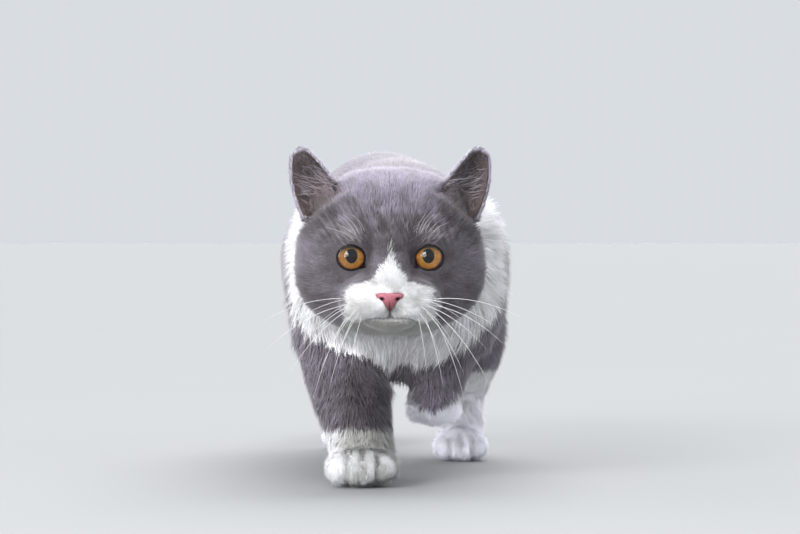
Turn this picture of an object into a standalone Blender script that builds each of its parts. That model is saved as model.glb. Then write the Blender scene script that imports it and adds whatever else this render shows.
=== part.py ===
"""A young bicolour British Shorthair cat at life size, caught in a walk.

The right forepaw, left hind paw and right hind paw are on the floor and the left forepaw
is lifted. The solids reach out to the tips of the coat. The body is built whole from
overlapping masses, smoothed into one form, and then parted by thin cuts into its pieces.

While it is built, the point between the eyes is at x = 0, y = 0, the cat faces -Y, its
left side is +X and the floor is z = 0. At the end all is moved so that the origin is
under the middle of the cat.
"""

import math

import bmesh
import bpy
import numpy as np
from mathutils import Matrix, Vector

# All sizes are in millimetres until bring_home() scales them.
EYE_HEIGHT = 139.0          # from the floor to the middle of the eyes
EYE_SPACING = 47.0          # between the middles of the two eyes
HEAD_WIDTH = 114.0          # across the cheeks, with the coat
BACK_HEIGHT = 209.0         # from the floor to the top of the rump
BODY_WIDTH = 147.0          # across the ribs, with the coat
BODY_SHIFT = 4.0            # the ribs lie this far to the cat's left of the face
RUMP_SHIFT = -9.0           # and the rump this far to its right
SPINE_NARROWING = 0.35      # the trunk narrows by this share toward the spine

WIDEST_LINE = 33.0          # the cheeks are widest this far behind the eyes' plane

EYEBALL_RADIUS = 10.3
EYE_DEPTH = 9.2             # the eyeball's middle lies this far behind the eyes' plane
EYE_OUTWARD = math.radians(7)
CORNEA_RISE = 1.3           # the cornea stands this far off the ball
CORNEA_SLANT = math.radians(40)
SOCKET_RADIUS = 11.0
ORBIT_RADIUS = 17.0         # the shallow hollow round each eye
ORBIT_DEPTH = 4.5

# Places on the head are (outward, behind the eyes' plane, over the eyes).
EAR_ROOT_PLACE = (41.0, 34.0, 30.0)
EAR_TIP_PLACE = (55.5, 38.0, 65.5)
EAR_INNER_HALF = 18.0       # from the ear's middle line to its edge nearer the crown
EAR_OUTER_HALF = 12.5       # and to its outer edge
EAR_TIP_HALF = 3.3          # half the width left at the very tip
EAR_INNER_TAPER = 0.75      # 1 makes the edge nearer the crown straight, and less bows it out
EAR_DEPTH = 15.0            # how far the ear's edges stand in front of its back
EAR_CURL = 3.0              # how far the tip bends forward
EAR_TURN = math.radians(22)  # how far the ear faces outward
EAR_THICKNESS = 4.4
EAR_ROOT = 14.0             # how far the ear runs down into the head before it is trimmed
EAR_ROWS = 8
EAR_COLUMNS = 8

NOSE_HALF_WIDTH = 9.0
NOSE_HEIGHT = 11.2
NOSE_DEPTH = 7.0
NOSE_PLACE = (-18.0, -26.2)  # its middle, behind the eyes' plane and over the eyes
NOSE_WIDE_ABOVE = 0.35      # as a share of half its height, the nose narrows below this
NOSE_NARROWING = 0.42       # and by this share for each half height
NOSE_LEAN = 0.9             # its lower end stands this far back for each half height

GAP = 0.3                   # between neighbouring pieces
EAR_GAP = 0.45              # between the ears and the head
VOXEL = 2.6                 # the masses are joined on a grid of this size
BLEND_ROUNDS = 40           # rounds of smoothing where the form is broad
SMOOTH_ROUNDS = 3           # and all over after that
SMOOTH_FACTOR = 0.6
SHARP_ANGLE = math.radians(50)
FIRST_SHARE = 0.12          # of the triangles kept while the head is spared
SECOND_SHARE = 0.30          # of the triangles kept all over after that
COARSE_WEIGHT = 1.0         # how strongly the head is spared

SLATE = (0.115, 0.100, 0.120, 1.0)
WHITE = (0.820, 0.830, 0.840, 1.0)
PINK = (0.420, 0.160, 0.150, 1.0)
AMBER = (0.560, 0.220, 0.035, 1.0)

LEFT = 1
RIGHT = -1

# Where the body is parted. Each leg: its outline in X and Z, the stretch of Y that it
# takes up, and the heights at which its lower pieces are cut off, the lowest first.
LEG_CUTS = (
    ("foreleg_right", ((-95, -20), (8, -20), (8, 57), (-95, 105)), -40, 142,
     (("forepaw_right", 24),)),
    ("foreleg_left", ((9, 10), (95, 10), (95, 98), (9, 58)), 45, 152,
     (("forepaw_left", 51),)),
    ("thigh_left", ((18, -20), (95, -20), (95, 150), (18, 96)), 195, 333,
     (("hindpaw_left", 24), ("lower_leg_left", 74))),
    ("thigh_right", ((-95, -20), (-3, -20), (-18, 96), (-95, 150)), 254, 390,
     (("hindpaw_right", 24), ("lower_leg_right", 78))),
)
# Where each piece of the tail starts along Y.
TAIL_CUTS = (("tail_tip", 478), ("tail_middle", 425), ("tail_root", 375))
# Outlines in Y and Z.
HEAD_CUT = ((-60, 72), (40, 72), (76, 240), (-60, 240))
JAW_CUT = ((-60, 60), (9, 60), (9, 104), (-60, 100))
# Where each piece of the trunk ends along Y.
TRUNK_CUTS = (("neck", 106), ("chest", 168), ("belly", 254))


def clear_scene():
    """Removes what the startup file put in the scene."""
    for found in list(bpy.data.objects):
        bpy.data.objects.remove(found, do_unlink=True)


def material(name, colour, roughness):
    """A plain finish of one colour."""
    finish = bpy.data.materials.new(name)
    finish.use_nodes = True
    shader = finish.node_tree.nodes["Principled BSDF"]
    shader.inputs["Base Color"].default_value = colour
    shader.inputs["Roughness"].default_value = roughness
    shader.inputs["Metallic"].default_value = 0.0
    finish.diffuse_color = colour
    return finish


def as_object(bm, name):
    """Puts the finished form into the scene as an object."""
    mesh = bpy.data.meshes.new(name)
    bm.to_mesh(mesh)
    bm.free()
    made = bpy.data.objects.new(name, mesh)
    bpy.context.scene.collection.objects.link(made)
    return made


def settle(obj):
    """Replaces the object's mesh by what its modifiers make of it."""
    bpy.context.view_layer.update()
    graph = bpy.context.evaluated_depsgraph_get()
    mesh = bpy.data.meshes.new_from_object(obj.evaluated_get(graph))
    obj.modifiers.clear()
    obj.data = mesh


def boolean(obj, other, operation):
    """Cuts, joins or crosses one object with another."""
    modifier = obj.modifiers.new(operation, "BOOLEAN")
    modifier.operation = operation
    modifier.object = other
    settle(obj)


def copy_of(obj, name):
    """A copy of the object with a mesh of its own."""
    twin = obj.copy()
    twin.data = obj.data.copy()
    twin.name = name
    bpy.context.scene.collection.objects.link(twin)
    return twin


def remove(obj):
    bpy.data.objects.remove(obj, do_unlink=True)


def curve_through(stations, pieces):
    """Points on a smooth curve through rows of numbers, in equal pieces between the rows."""
    rows = np.array(stations, dtype=float)
    padded = np.vstack([2 * rows[0] - rows[1], rows, 2 * rows[-1] - rows[-2]])
    points = []
    for before, start, end, after in zip(padded, padded[1:], padded[2:], padded[3:]):
        for t in np.arange(pieces) / pieces:
            bend = (2 * before - 5 * start + 4 * end - after) * t ** 2
            twist = (3 * start - before - 3 * end + after) * t ** 3
            points.append(start + 0.5 * ((end - before) * t + bend + twist))
    points.append(rows[-1])
    return points


def lump(bm, centre, radii, pitch=0.0, yaw=0.0, roll=0.0):
    """Adds one egg-shaped mass, turned by degrees about X, Z and Y."""
    turn = Matrix.Rotation(math.radians(yaw), 4, "Z")
    turn @= Matrix.Rotation(math.radians(roll), 4, "Y")
    turn @= Matrix.Rotation(math.radians(pitch), 4, "X")
    place = Matrix.Translation(centre) @ turn @ Matrix.Diagonal((*radii, 1.0))
    bmesh.ops.create_icosphere(bm, subdivisions=3, radius=1.0, matrix=place)


def limb(bm, *stations):
    """Adds a rounded length along a curve through stations of (x, y, z, radius)."""
    for *centre, radius in curve_through(stations, 7):
        place = Matrix.Translation(centre) @ Matrix.Scale(radius, 4)
        bmesh.ops.create_icosphere(bm, subdivisions=2, radius=1.0, matrix=place)


def skin_over(bm, rings):
    """Adds a closed form stretched over rings of equally many points."""
    loops = [[bm.verts.new(point) for point in ring] for ring in rings]
    count = len(loops[0])
    for lower, upper in zip(loops, loops[1:]):
        for at in range(count):
            after = (at + 1) % count
            bm.faces.new((lower[at], lower[after], upper[after], upper[at]))
    bm.faces.new(list(reversed(loops[0])))
    bm.faces.new(loops[-1])


def rounded_ring(squareness, steps=40):
    """(cosine, sine) pairs round an outline between an ellipse (2) and a rounded box."""
    pairs = []
    for step in range(steps):
        turn = 2 * math.pi * step / steps
        across = math.copysign(abs(math.cos(turn)) ** (2 / squareness), math.cos(turn))
        along = math.copysign(abs(math.sin(turn)) ** (2 / squareness), math.sin(turn))
        pairs.append((across, along))
    return pairs


def head_form(bm):
    """The broad, rounded head, stacked from level outlines from the throat to the crown."""
    cheek = HEAD_WIDTH / 2
    # (height over the eyes, half width, reach in front of the widest line, reach behind it)
    levels = ((-47, 0.28 * cheek, 14, 16), (-43, 0.54 * cheek, 23, 27),
              (-34, 0.82 * cheek, 30, 35), (-23, 0.97 * cheek, 34, 40),
              (-10, 1.03 * cheek, 36, 43), (4, 1.01 * cheek, 36, 44),
              (18, 0.98 * cheek, 35.5, 44), (31, 0.92 * cheek, 31, 42),
              (42, 0.77 * cheek, 22.5, 37), (50, 0.52 * cheek, 11, 28),
              (54.5, 0.22 * cheek, 1, 16))
    rings = []
    for height, half, front, back in curve_through(levels, 4):
        ring = []
        for across, along in rounded_ring(2.1):
            reach = back if along > 0 else front
            ring.append((half * across, WIDEST_LINE + reach * along, EYE_HEIGHT + height))
        rings.append(ring)
    skin_over(bm, rings)


def muzzle_masses(bm):
    """Nose bridge, whisker pads, chin and brows, which stand out from the head."""
    at = Vector((0.0, 0.0, EYE_HEIGHT))
    limb(bm, (0, 8, EYE_HEIGHT + 8, 10), (0, 0, EYE_HEIGHT - 7, 10.5),
         (0, -11, EYE_HEIGHT - 19, 11))
    lump(bm, at + Vector((0, -13.5, -23)), (11, 9.5, 9))
    lump(bm, at + Vector((0, -2, -36.5)), (15.5, 13, 9.5))
    lump(bm, at + Vector((0, 3, -25)), (31, 18, 19))
    for side in (LEFT, RIGHT):
        lump(bm, at + Vector((side * 12.6, -6.5, -26.5)), (18, 16.5, 14.3), yaw=side * -12)
        lump(bm, at + Vector((side * 22, 15, 16)), (16, 16, 9))


def trunk_form(bm):
    """Neck, chest, ribs and rump in one, deep and short as in this breed."""
    half = BODY_WIDTH / 2
    # (distance behind the eyes, middle, half width, underside height, topside height)
    stations = ((40, 0, 0.64 * half, 104, 184), (56, 1, 0.74 * half, 84, 187),
                (76, 2, 0.84 * half, 65, 191), (100, 4, 0.90 * half, 61, 197),
                (135, 4, 0.95 * half, 66, 201), (180, 4, 1.00 * half, 69, 202),
                (225, 1, 1.01 * half, 69, 204), (265, -4, 0.98 * half, 74, BACK_HEIGHT - 1),
                (298, -8, 0.92 * half, 86, BACK_HEIGHT + 1),
                (328, RUMP_SHIFT, 0.78 * half, 106, 206),
                (348, RUMP_SHIFT, 0.56 * half, 128, 196),
                (360, RUMP_SHIFT, 0.26 * half, 150, 179))
    rings = []
    for back, middle, width, under, top in curve_through(stations, 6):
        ring = []
        for across, along in rounded_ring(2.2):
            height = (top + under) / 2 + (top - under) / 2 * along
            narrowed = width * (1.0 - SPINE_NARROWING * max(0.0, along))
            ring.append((middle - narrowed * across, back, height))
        rings.append(ring)
    skin_over(bm, rings)


def paw(bm, ankle, toes, half_width):
    """Adds a paw that runs from its ankle forward to its four rounded toes."""
    ankle = Vector(ankle)
    toes = Vector(toes)
    ahead = (toes - ankle).normalized()
    across = Vector((1.0, 0.0, 0.0))
    middle = ankle.lerp(toes, 0.5)
    limb(bm, (*ankle, half_width * 0.84), (*middle, half_width * 0.82))
    for place in (-1.5, -0.5, 0.5, 1.5):
        behind = 0.0 if abs(place) < 1.0 else 4.5
        root = middle + across * place * half_width * 0.42
        tip = toes + across * place * half_width * 0.47 - ahead * behind
        limb(bm, (*root, half_width * 0.52), (*tip, half_width * 0.46))


def leg_masses(bm):
    """Three legs that carry the cat and the left foreleg in its swing."""
    for side in (LEFT, RIGHT):
        lump(bm, (BODY_SHIFT + side * 45, 114, 126), (26, 42, 56), pitch=14)
    limb(bm, (-41, 108, 116, 27), (-34, 90, 82, 26), (-25, 62, 56, 25.5),
         (-19, 38, 34, 21.5), (-17, 31, 20, 20.5))
    paw(bm, (-17, 28, 15), (-16.5, 5, 9.5), 20.5)
    limb(bm, (42, 126, 116, 28), (35, 116, 90, 26), (30, 93, 67, 20),
         (27, 75, 51, 16))
    paw(bm, (27, 78, 50), (27, 104, 38), 16)
    lump(bm, (38, 268, 122), (35, 56, 54), pitch=-18)
    limb(bm, (45, 246, 110, 34), (51, 229, 86, 28), (51, 252, 66, 22.5),
         (49.5, 272, 48, 17), (48, 254, 28, 15.5), (47, 246, 17, 16))
    paw(bm, (47, 242, 13.5), (47, 217, 7.2), 17)
    lump(bm, (-40, 304, 122), (33, 52, 52), pitch=8)
    limb(bm, (-43, 292, 108, 32), (-42, 298, 87, 28), (-38, 326, 71, 21.5),
         (-34, 354, 53, 16.5), (-32, 352, 32, 15.5), (-31, 348, 18, 16))
    paw(bm, (-31, 346, 13.5), (-30, 322, 7.2), 17)


def tail_path(along):
    """(x, y, z, radius) of the tail at a share of its length: low, level at the tip."""
    drop = 88 * math.sin(min(1.0, along * 1.12) * math.pi / 2) ** 1.3
    x = RUMP_SHIFT - 5 * along
    return x, 336 + 184 * along, 178 - drop, 25 - 8 * along ** 0.6


def broadness(place):
    """How strongly the form is smoothed at a place: much on the trunk, little on the feet."""
    x, y, z = place
    face = min(1.0, max(0.0, (y - 4) / 22)) if y < 60 else 1.0
    foot = min(1.0, max(0.06, (z - 42) / 55))
    tail = 1.0 - 0.6 * min(1.0, max(0.0, (y - 370) / 30))
    return max(0.06, min(face, foot, tail))


def hollow_orbits(body):
    """Sets the face back a little round each eye, so that the eye is open to its rim."""
    for vertex in body.data.vertices:
        across = abs(vertex.co.x) - EYE_SPACING / 2
        along = vertex.co.z - EYE_HEIGHT
        away = math.hypot(across, along * 1.1) / ORBIT_RADIUS
        if away < 1.0 and vertex.co.y < EYE_DEPTH + 4:
            vertex.co.y += ORBIT_DEPTH * math.cos(away * math.pi / 2) ** 1.5


def whole_body():
    """The cat in one piece, without its ears, eyes and nose."""
    bm = bmesh.new()
    head_form(bm)
    muzzle_masses(bm)
    trunk_form(bm)
    leg_masses(bm)
    limb(bm, *(tail_path(step / 5) for step in range(6)))
    body = as_object(bm, "whole_body")
    remesh = body.modifiers.new("Remesh", "REMESH")
    remesh.mode = "VOXEL"
    remesh.voxel_size = VOXEL
    settle(body)
    broad = body.vertex_groups.new(name="broad")
    for vertex in body.data.vertices:
        broad.add([vertex.index], broadness(vertex.co), "REPLACE")
    for name, group, rounds in (("Blend", "broad", BLEND_ROUNDS), ("Smooth", "", SMOOTH_ROUNDS)):
        smooth = body.modifiers.new(name, "SMOOTH")
        smooth.factor = SMOOTH_FACTOR
        smooth.iterations = rounds
        smooth.vertex_group = group
    settle(body)
    body.vertex_groups.clear()
    hollow_orbits(body)
    return body


def thin_out(body):
    """Keeps small triangles on the face and lets the rest of the body have large ones."""
    coarse = body.vertex_groups.new(name="coarse")
    for vertex in body.data.vertices:
        behind = (vertex.co.y - 28.0) / 22.0
        below = (EYE_HEIGHT - 50.0 - vertex.co.z) / 12.0
        coarse.add([vertex.index], min(1.0, max(0.0, behind, below)), "REPLACE")
    first = body.modifiers.new("Coarse body", "DECIMATE")
    first.ratio = FIRST_SHARE
    first.vertex_group = "coarse"
    first.vertex_group_factor = COARSE_WEIGHT
    second = body.modifiers.new("Coarse all", "DECIMATE")
    second.ratio = SECOND_SHARE
    settle(body)
    body.vertex_groups.clear()


def spread(outline, distance):
    """A convex outline, given anticlockwise, moved outward by a distance."""
    corners = []
    for at, corner in enumerate(outline):
        before = (Vector(corner) - Vector(outline[at - 1])).normalized()
        after = (Vector(outline[(at + 1) % len(outline)]) - Vector(corner)).normalized()
        outward = Vector((before.y + after.y, -before.x - after.x))
        corners.append(Vector(corner) + outward * (2 * distance / outward.length_squared))
    return corners


def block(outline, start, end, seen_from_side=False, grow=0.0):
    """A cutter: an outline in X and Z drawn out along Y, or in Y and Z drawn out along X."""
    bm = bmesh.new()
    rings = []
    for depth in (start - grow, end + grow):
        ring = []
        for flat, height in spread(outline, grow):
            ring.append((depth, flat, height) if seen_from_side else (flat, depth, height))
        rings.append(ring)
    skin_over(bm, rings)
    bmesh.ops.recalc_face_normals(bm, faces=bm.faces)
    cutter = as_object(bm, "cutter")
    cutter.hide_render = True
    cutter.display_type = "WIRE"
    return cutter


def part_off(rest, name, outline, start, end, seen_from_side=False):
    """Takes what lies inside a block off the rest, leaving a thin gap between the two."""
    piece = copy_of(rest, name)
    cutter = block(outline, start, end, seen_from_side)
    boolean(piece, cutter, "INTERSECT")
    remove(cutter)
    cutter = block(outline, start, end, seen_from_side, GAP)
    boolean(rest, cutter, "DIFFERENCE")
    remove(cutter)
    return piece


def upright(start, end, bottom, top):
    """A rectangle as an anticlockwise outline."""
    return ((start, bottom), (end, bottom), (end, top), (start, top))


def stand_flat(body):
    """Gives the three soles on the floor a flat at one level."""
    ground = block(upright(-300, 300, -100, 0), -300, 800)
    boolean(body, ground, "DIFFERENCE")
    remove(ground)


def divide(body):
    """Parts the body into its pieces; what is left at the end is the rump."""
    pieces = []
    for name, outline, start, end, splits in LEG_CUTS:
        leg = part_off(body, name, outline, start, end)
        for lower_name, height in splits:
            pieces.append(part_off(leg, lower_name, upright(-200, 200, -20, height), -50, 450))
        pieces.append(leg)
    for name, start in TAIL_CUTS:
        pieces.append(part_off(body, name, upright(-100, 100, 58, 230), start, 700))
    head = part_off(body, "head", HEAD_CUT, -100, 100, seen_from_side=True)
    pieces.append(part_off(head, "lower_jaw", JAW_CUT, -60, 60, seen_from_side=True))
    pieces.append(head)
    for name, end in TRUNK_CUTS:
        pieces.append(part_off(body, name, upright(-150, 150, -20, 300), -100, end))
    body.name = "rump"
    pieces.append(body)
    return head, pieces


def grown(obj, distance):
    """A copy of an object with its surface moved outward by a distance."""
    twin = copy_of(obj, "grown")
    swell = twin.modifiers.new("Swell", "DISPLACE")
    swell.strength = distance
    swell.mid_level = 0.0
    settle(twin)
    return twin


def eyeball(side):
    """One eyeball with its cornea, looking forward and a little outward."""
    bm = bmesh.new()
    bmesh.ops.create_uvsphere(bm, u_segments=18, v_segments=11, radius=EYEBALL_RADIUS)
    for vertex in bm.verts:
        slant = vertex.co.angle(Vector((0.0, 0.0, 1.0)))
        if slant < CORNEA_SLANT:
            rise = CORNEA_RISE * math.cos(slant / CORNEA_SLANT * math.pi / 2) ** 2
            vertex.co *= 1.0 + rise / EYEBALL_RADIUS
    bm.transform(eye_place(side))
    return as_object(bm, "eye_left" if side == LEFT else "eye_right")


def eye_place(side):
    """Puts what is made round the origin, facing up, where an eye is and as it looks."""
    middle = Vector((side * EYE_SPACING / 2, EYE_DEPTH, EYE_HEIGHT))
    outward = Matrix.Rotation(side * EYE_OUTWARD, 4, "Z")
    return Matrix.Translation(middle) @ outward @ Matrix.Rotation(math.radians(90), 4, "X")


def socket(side):
    """The hollow that an eyeball sits in."""
    bm = bmesh.new()
    bmesh.ops.create_uvsphere(bm, u_segments=18, v_segments=12, radius=SOCKET_RADIUS)
    bm.transform(eye_place(side))
    return as_object(bm, "socket")


def nose_leather():
    """The bare nose: wide above, narrow below, between the whisker pads."""
    bm = bmesh.new()
    bmesh.ops.create_icosphere(bm, subdivisions=3, radius=1.0)
    for vertex in bm.verts:
        low = max(0.0, NOSE_WIDE_ABOVE - vertex.co.z)
        vertex.co.x *= NOSE_HALF_WIDTH * (1.0 - NOSE_NARROWING * low)
        vertex.co.y *= NOSE_DEPTH
        vertex.co.z *= NOSE_HEIGHT / 2
        vertex.co.y += NOSE_LEAN * low
    bm.transform(Matrix.Translation((0.0, NOSE_PLACE[0], EYE_HEIGHT + NOSE_PLACE[1])))
    return as_object(bm, "nose")


def ear(side):
    """A cupped ear with a rounded tip: a bent sheet whose edges come forward."""
    root = Vector(EAR_ROOT_PLACE)
    tip = Vector(EAR_TIP_PLACE)
    up = (tip - root).normalized()
    height = (tip - root).length
    facing = Vector((math.sin(EAR_TURN), -math.cos(EAR_TURN), 0.0))
    facing = (facing - up * facing.dot(up)).normalized()
    outward = up.cross(facing)
    bm = bmesh.new()
    grid = []
    for row in range(EAR_ROWS + 1):
        climb = math.sin(row / EAR_ROWS * math.pi / 2)
        rise = climb - (1.0 - climb) * EAR_ROOT / height
        part = max(0.0, rise)
        inner = EAR_INNER_HALF * (1.0 - part) ** EAR_INNER_TAPER
        outer = EAR_OUTER_HALF * (1.0 - part ** 2.0) ** 0.72
        depth = EAR_DEPTH * (1.0 - part) ** 0.75
        points = []
        for column in range(EAR_COLUMNS + 1):
            share = 2 * column / EAR_COLUMNS - 1
            half = outer if share > 0 else inner
            point = root + up * rise * height + outward * share * (half + EAR_TIP_HALF * part)
            point += facing * (depth * (share * share - 0.5) + EAR_CURL * part * part)
            points.append(bm.verts.new((side * point.x, point.y, point.z + EYE_HEIGHT)))
        grid.append(points)
    for lower, upper in zip(grid, grid[1:]):
        for at in range(EAR_COLUMNS):
            bm.faces.new((lower[at], lower[at + 1], upper[at + 1], upper[at]))
    if side == RIGHT:
        bmesh.ops.reverse_faces(bm, faces=bm.faces)
    sheet = as_object(bm, "ear_left" if side == LEFT else "ear_right")
    thick = sheet.modifiers.new("Thick", "SOLIDIFY")
    thick.thickness = EAR_THICKNESS
    thick.offset = 0.0
    settle(sheet)
    return sheet


def finish_head(head):
    """Sets the eyes, nose and ears in the head, each with a thin gap round it."""
    made = []
    for side in (LEFT, RIGHT):
        hollow = socket(side)
        boolean(head, hollow, "DIFFERENCE")
        remove(hollow)
        made.append(eyeball(side))
    nose = nose_leather()
    bed = grown(nose, GAP)
    boolean(head, bed, "DIFFERENCE")
    remove(bed)
    made.append(nose)
    swollen = grown(head, EAR_GAP)
    for side in (LEFT, RIGHT):
        pinna = ear(side)
        boolean(pinna, swollen, "DIFFERENCE")
        made.append(pinna)
    remove(swollen)
    return made


def colour_of(name):
    """(colour, roughness) of a piece."""
    if name.startswith("eye"):
        return AMBER, 0.1
    if name == "nose":
        return PINK, 0.5
    if name in ("chest", "lower_jaw") or name.endswith(("paw_left", "paw_right", "lower_leg_left")):
        return WHITE, 0.9
    return SLATE, 0.9


def bring_home(pieces):
    """Moves all over the origin, turns millimetres into metres and gives each its finish."""
    corners = [vertex.co for piece in pieces for vertex in piece.data.vertices]
    low = Vector([min(corner[axis] for corner in corners) for axis in range(3)])
    high = Vector([max(corner[axis] for corner in corners) for axis in range(3)])
    home = Vector(((low.x + high.x) / -2, (low.y + high.y) / -2, 0.0))
    for piece in pieces:
        piece.data.transform(Matrix.Scale(0.001, 4) @ Matrix.Translation(home))
        piece.data.name = piece.name
        piece.data.materials.clear()
        piece.data.materials.append(material(piece.name, *colour_of(piece.name)))
        piece.data.shade_smooth()
        piece.data.set_sharp_from_angle(angle=SHARP_ANGLE)


def main():
    clear_scene()
    body = whole_body()
    thin_out(body)
    stand_flat(body)
    head, pieces = divide(body)
    pieces += finish_head(head)
    bring_home(pieces)


main()
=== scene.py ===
"""A life-size young bicolour British Shorthair in mid-walk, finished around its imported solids.

One skin stands for all the solids of flesh. The tufts of the coat lie over it, and the eyes, the
nose leather and the whiskers are set into it. Points are in metres, one to a row of an array.
The sizes of markings, lids, tufts and the like are in millimetres, in the face's own measures:
out to either side of its middle, back from it, up from the eyes, and height over the floor.
"""

import math

import bmesh
import bpy
import numpy as np
from bpy.props import FloatProperty, FloatVectorProperty, PointerProperty
from mathutils import Matrix, Vector
from mathutils.bvhtree import BVHTree


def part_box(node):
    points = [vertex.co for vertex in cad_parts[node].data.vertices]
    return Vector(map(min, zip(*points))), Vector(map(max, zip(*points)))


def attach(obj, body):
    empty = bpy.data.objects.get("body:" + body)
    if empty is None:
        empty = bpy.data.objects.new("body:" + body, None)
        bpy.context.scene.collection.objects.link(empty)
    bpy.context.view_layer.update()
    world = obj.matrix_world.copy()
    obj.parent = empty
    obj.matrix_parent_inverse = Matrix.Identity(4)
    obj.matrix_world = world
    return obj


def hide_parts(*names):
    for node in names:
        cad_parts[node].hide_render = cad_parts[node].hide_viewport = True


bl_info = {
    "name": "Walking Shorthair Cat",
    "version": (1, 0, 0),
    "blender": (4, 5, 0),
    "location": "3D View > Sidebar > Cat",
    "description": "Skin, eyes, nose, coat and whiskers of a walking cat",
    "category": "Object",
}

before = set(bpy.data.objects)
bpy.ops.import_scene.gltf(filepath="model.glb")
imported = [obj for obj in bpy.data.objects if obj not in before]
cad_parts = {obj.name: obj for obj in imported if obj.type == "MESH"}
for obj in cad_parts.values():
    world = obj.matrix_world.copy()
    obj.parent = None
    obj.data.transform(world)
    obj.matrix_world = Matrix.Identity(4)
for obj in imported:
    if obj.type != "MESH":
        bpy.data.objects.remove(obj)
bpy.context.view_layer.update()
NODES = sorted(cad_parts)
NOT_FLESH = ("eye_left", "eye_right", "nose")
FLESH = [name for name in NODES if name not in NOT_FLESH]
BODY = "root"
MM = 0.001
SIDES = (("left", 1), ("right", -1))
BACK = 1                                 # the columns of a point or normal: this from nose to tail
UP = 2


def middle(name):
    """The middle of a node's box."""
    low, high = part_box(name)
    return (low + high) / 2


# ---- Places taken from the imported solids, in metres ----
EYE_BOX = {side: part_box("eye_" + side) for side, _ in SIDES}
BALL = (EYE_BOX["left"][1].z - EYE_BOX["left"][0].z) / 2
EYE = {
    side: Vector(((low.x + high.x) / 2, high.y - BALL, (low.z + high.z) / 2))
    for side, (low, high) in EYE_BOX.items()
}
EYE_SET = 9.2 * MM                       # the eyeballs' middles lie this far behind the face
FACE = (EYE["left"] + EYE["right"]) / 2 + Vector((0, -EYE_SET, 0))
NOSE_LOW, NOSE_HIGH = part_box("nose")
NOSE_TIP = Vector((FACE.x, NOSE_LOW.y, (NOSE_LOW.z + NOSE_HIGH.z) / 2))

# ---- The white markings, in millimetres ----
# Half the width of the white blaze and muzzle at heights over the eyes.
BLAZE = ((-60, 28.0), (-41, 26.5), (-34, 25.0), (-25, 24.6), (-20.0, 23.6), (-17.4, 20.5),
         (-16.2, 13.5), (-14.5, 9.6), (-11, 7.0), (-5, 3.6), (-0.5, 1.3), (2.0, 0.2), (6, -0.6), (9, -3.0))
BLAZE_BACK = 24                          # the blaze and muzzle end this far behind the face
# The grey mask of the face ends on a rounded line below the cheeks.
MASK_HALF_WIDTH = 58.5
MASK_TOP = 5
MASK_DROP = 50
MASK_POWER = 2.6                         # 2 makes the line an oval, and more makes it squarer
MASK_SCALE = 26                          # carries the oval's own measure to millimetres
OUTSIDE = -9                             # well outside a marking
# The collar wraps round behind the cheeks and leaves the nape grey.
COLLAR_BACK = 38
COLLAR_LEAN = 0.10
COLLAR_TOP = 28
# The lower edge of the white bib: its height over the floor at places out from the middle.
BIB_EDGE = ((0, 79.0), (16, 78.0), (32, 83.0), (46, 94.0), (60, 108.0), (75, 128.0))
BIB_BACK = 92                            # its end behind the face at BIB_LEVEL, leaning back higher up
BIB_LEVEL = 100
BIB_LEAN = 0.12
BELLY_EDGE = 64                          # height of the belly's edge, which waves by BELLY_WAVE
BELLY_WAVE = 4
BELLY_WAVE_RUN = 17.0
BELLY_FRONT = 92
SOCK_TOP = 37                            # the forelegs' socks, and how much higher the hind legs' are
SOCK_RISE = 24
HIND_LEGS = (150, 200)
MITT = 21                                # round the lifted paw's middle
UNEVEN = ((2.2, 30, 41), (1.1, 11, 42))  # the edges' waves: (size, run, seed)
UNEVEN_BACK = (24, 50)
UNEVEN_HEIGHT = (55, 75)


def smoothstep(value, start, end):
    """0 before start, 1 after end, and a smooth rise between them."""
    share = np.clip((np.asarray(value, float) - start) / (end - start), 0, 1)
    return share * share * (3 - 2 * share)


def hump(value, centre, width):
    """1 at the centre, falling smoothly to nearly 0 at twice the width from it."""
    return np.exp(-((value - centre) / width) ** 2)


def patch(out, up, centre, widths):
    """1 at a centre (out, up) on both sides of the face, falling to 0 round it."""
    return np.exp(-((out - centre[0]) / widths[0]) ** 2 - ((up - centre[1]) / widths[1]) ** 2)


def along_table(value, table):
    """Reads a table of (place, size) between its rows."""
    places, sizes = zip(*table)
    return np.interp(value, places, sizes)


def waves(points, size, seed, count=6):
    """Smooth noise about 0, mostly from -1 to 1, whose humps are about half of size wide."""
    draw = np.random.default_rng(seed)
    aims = draw.normal(size=(count, 3))
    aims /= np.linalg.norm(aims, axis=1)[:, None]
    aims *= 2 * math.pi / size * draw.uniform(0.6, 1.5, (count, 1))
    turn = draw.uniform(0, 2 * math.pi, count)
    return np.sin(points @ aims.T + turn).sum(1) / math.sqrt(count)


def unit(rows):
    """Each row as a direction of length 1."""
    return rows / np.maximum(np.linalg.norm(rows, axis=-1, keepdims=True), 1e-12)


def along_surface(rows, normals):
    """Each row without the part of it that stands off the surface."""
    return rows - normals * (rows * normals).sum(1)[:, None]


def on_face(points):
    """(out from the middle, behind the face, over the eyes, over the floor) in millimetres."""
    out = np.abs(points[:, 0] - FACE.x) / MM
    return out, (points[:, BACK] - FACE.y) / MM, (points[:, UP] - FACE.z) / MM, points[:, UP] / MM


def height_of(points):
    """Height over the floor in millimetres."""
    return points[:, UP] / MM


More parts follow.
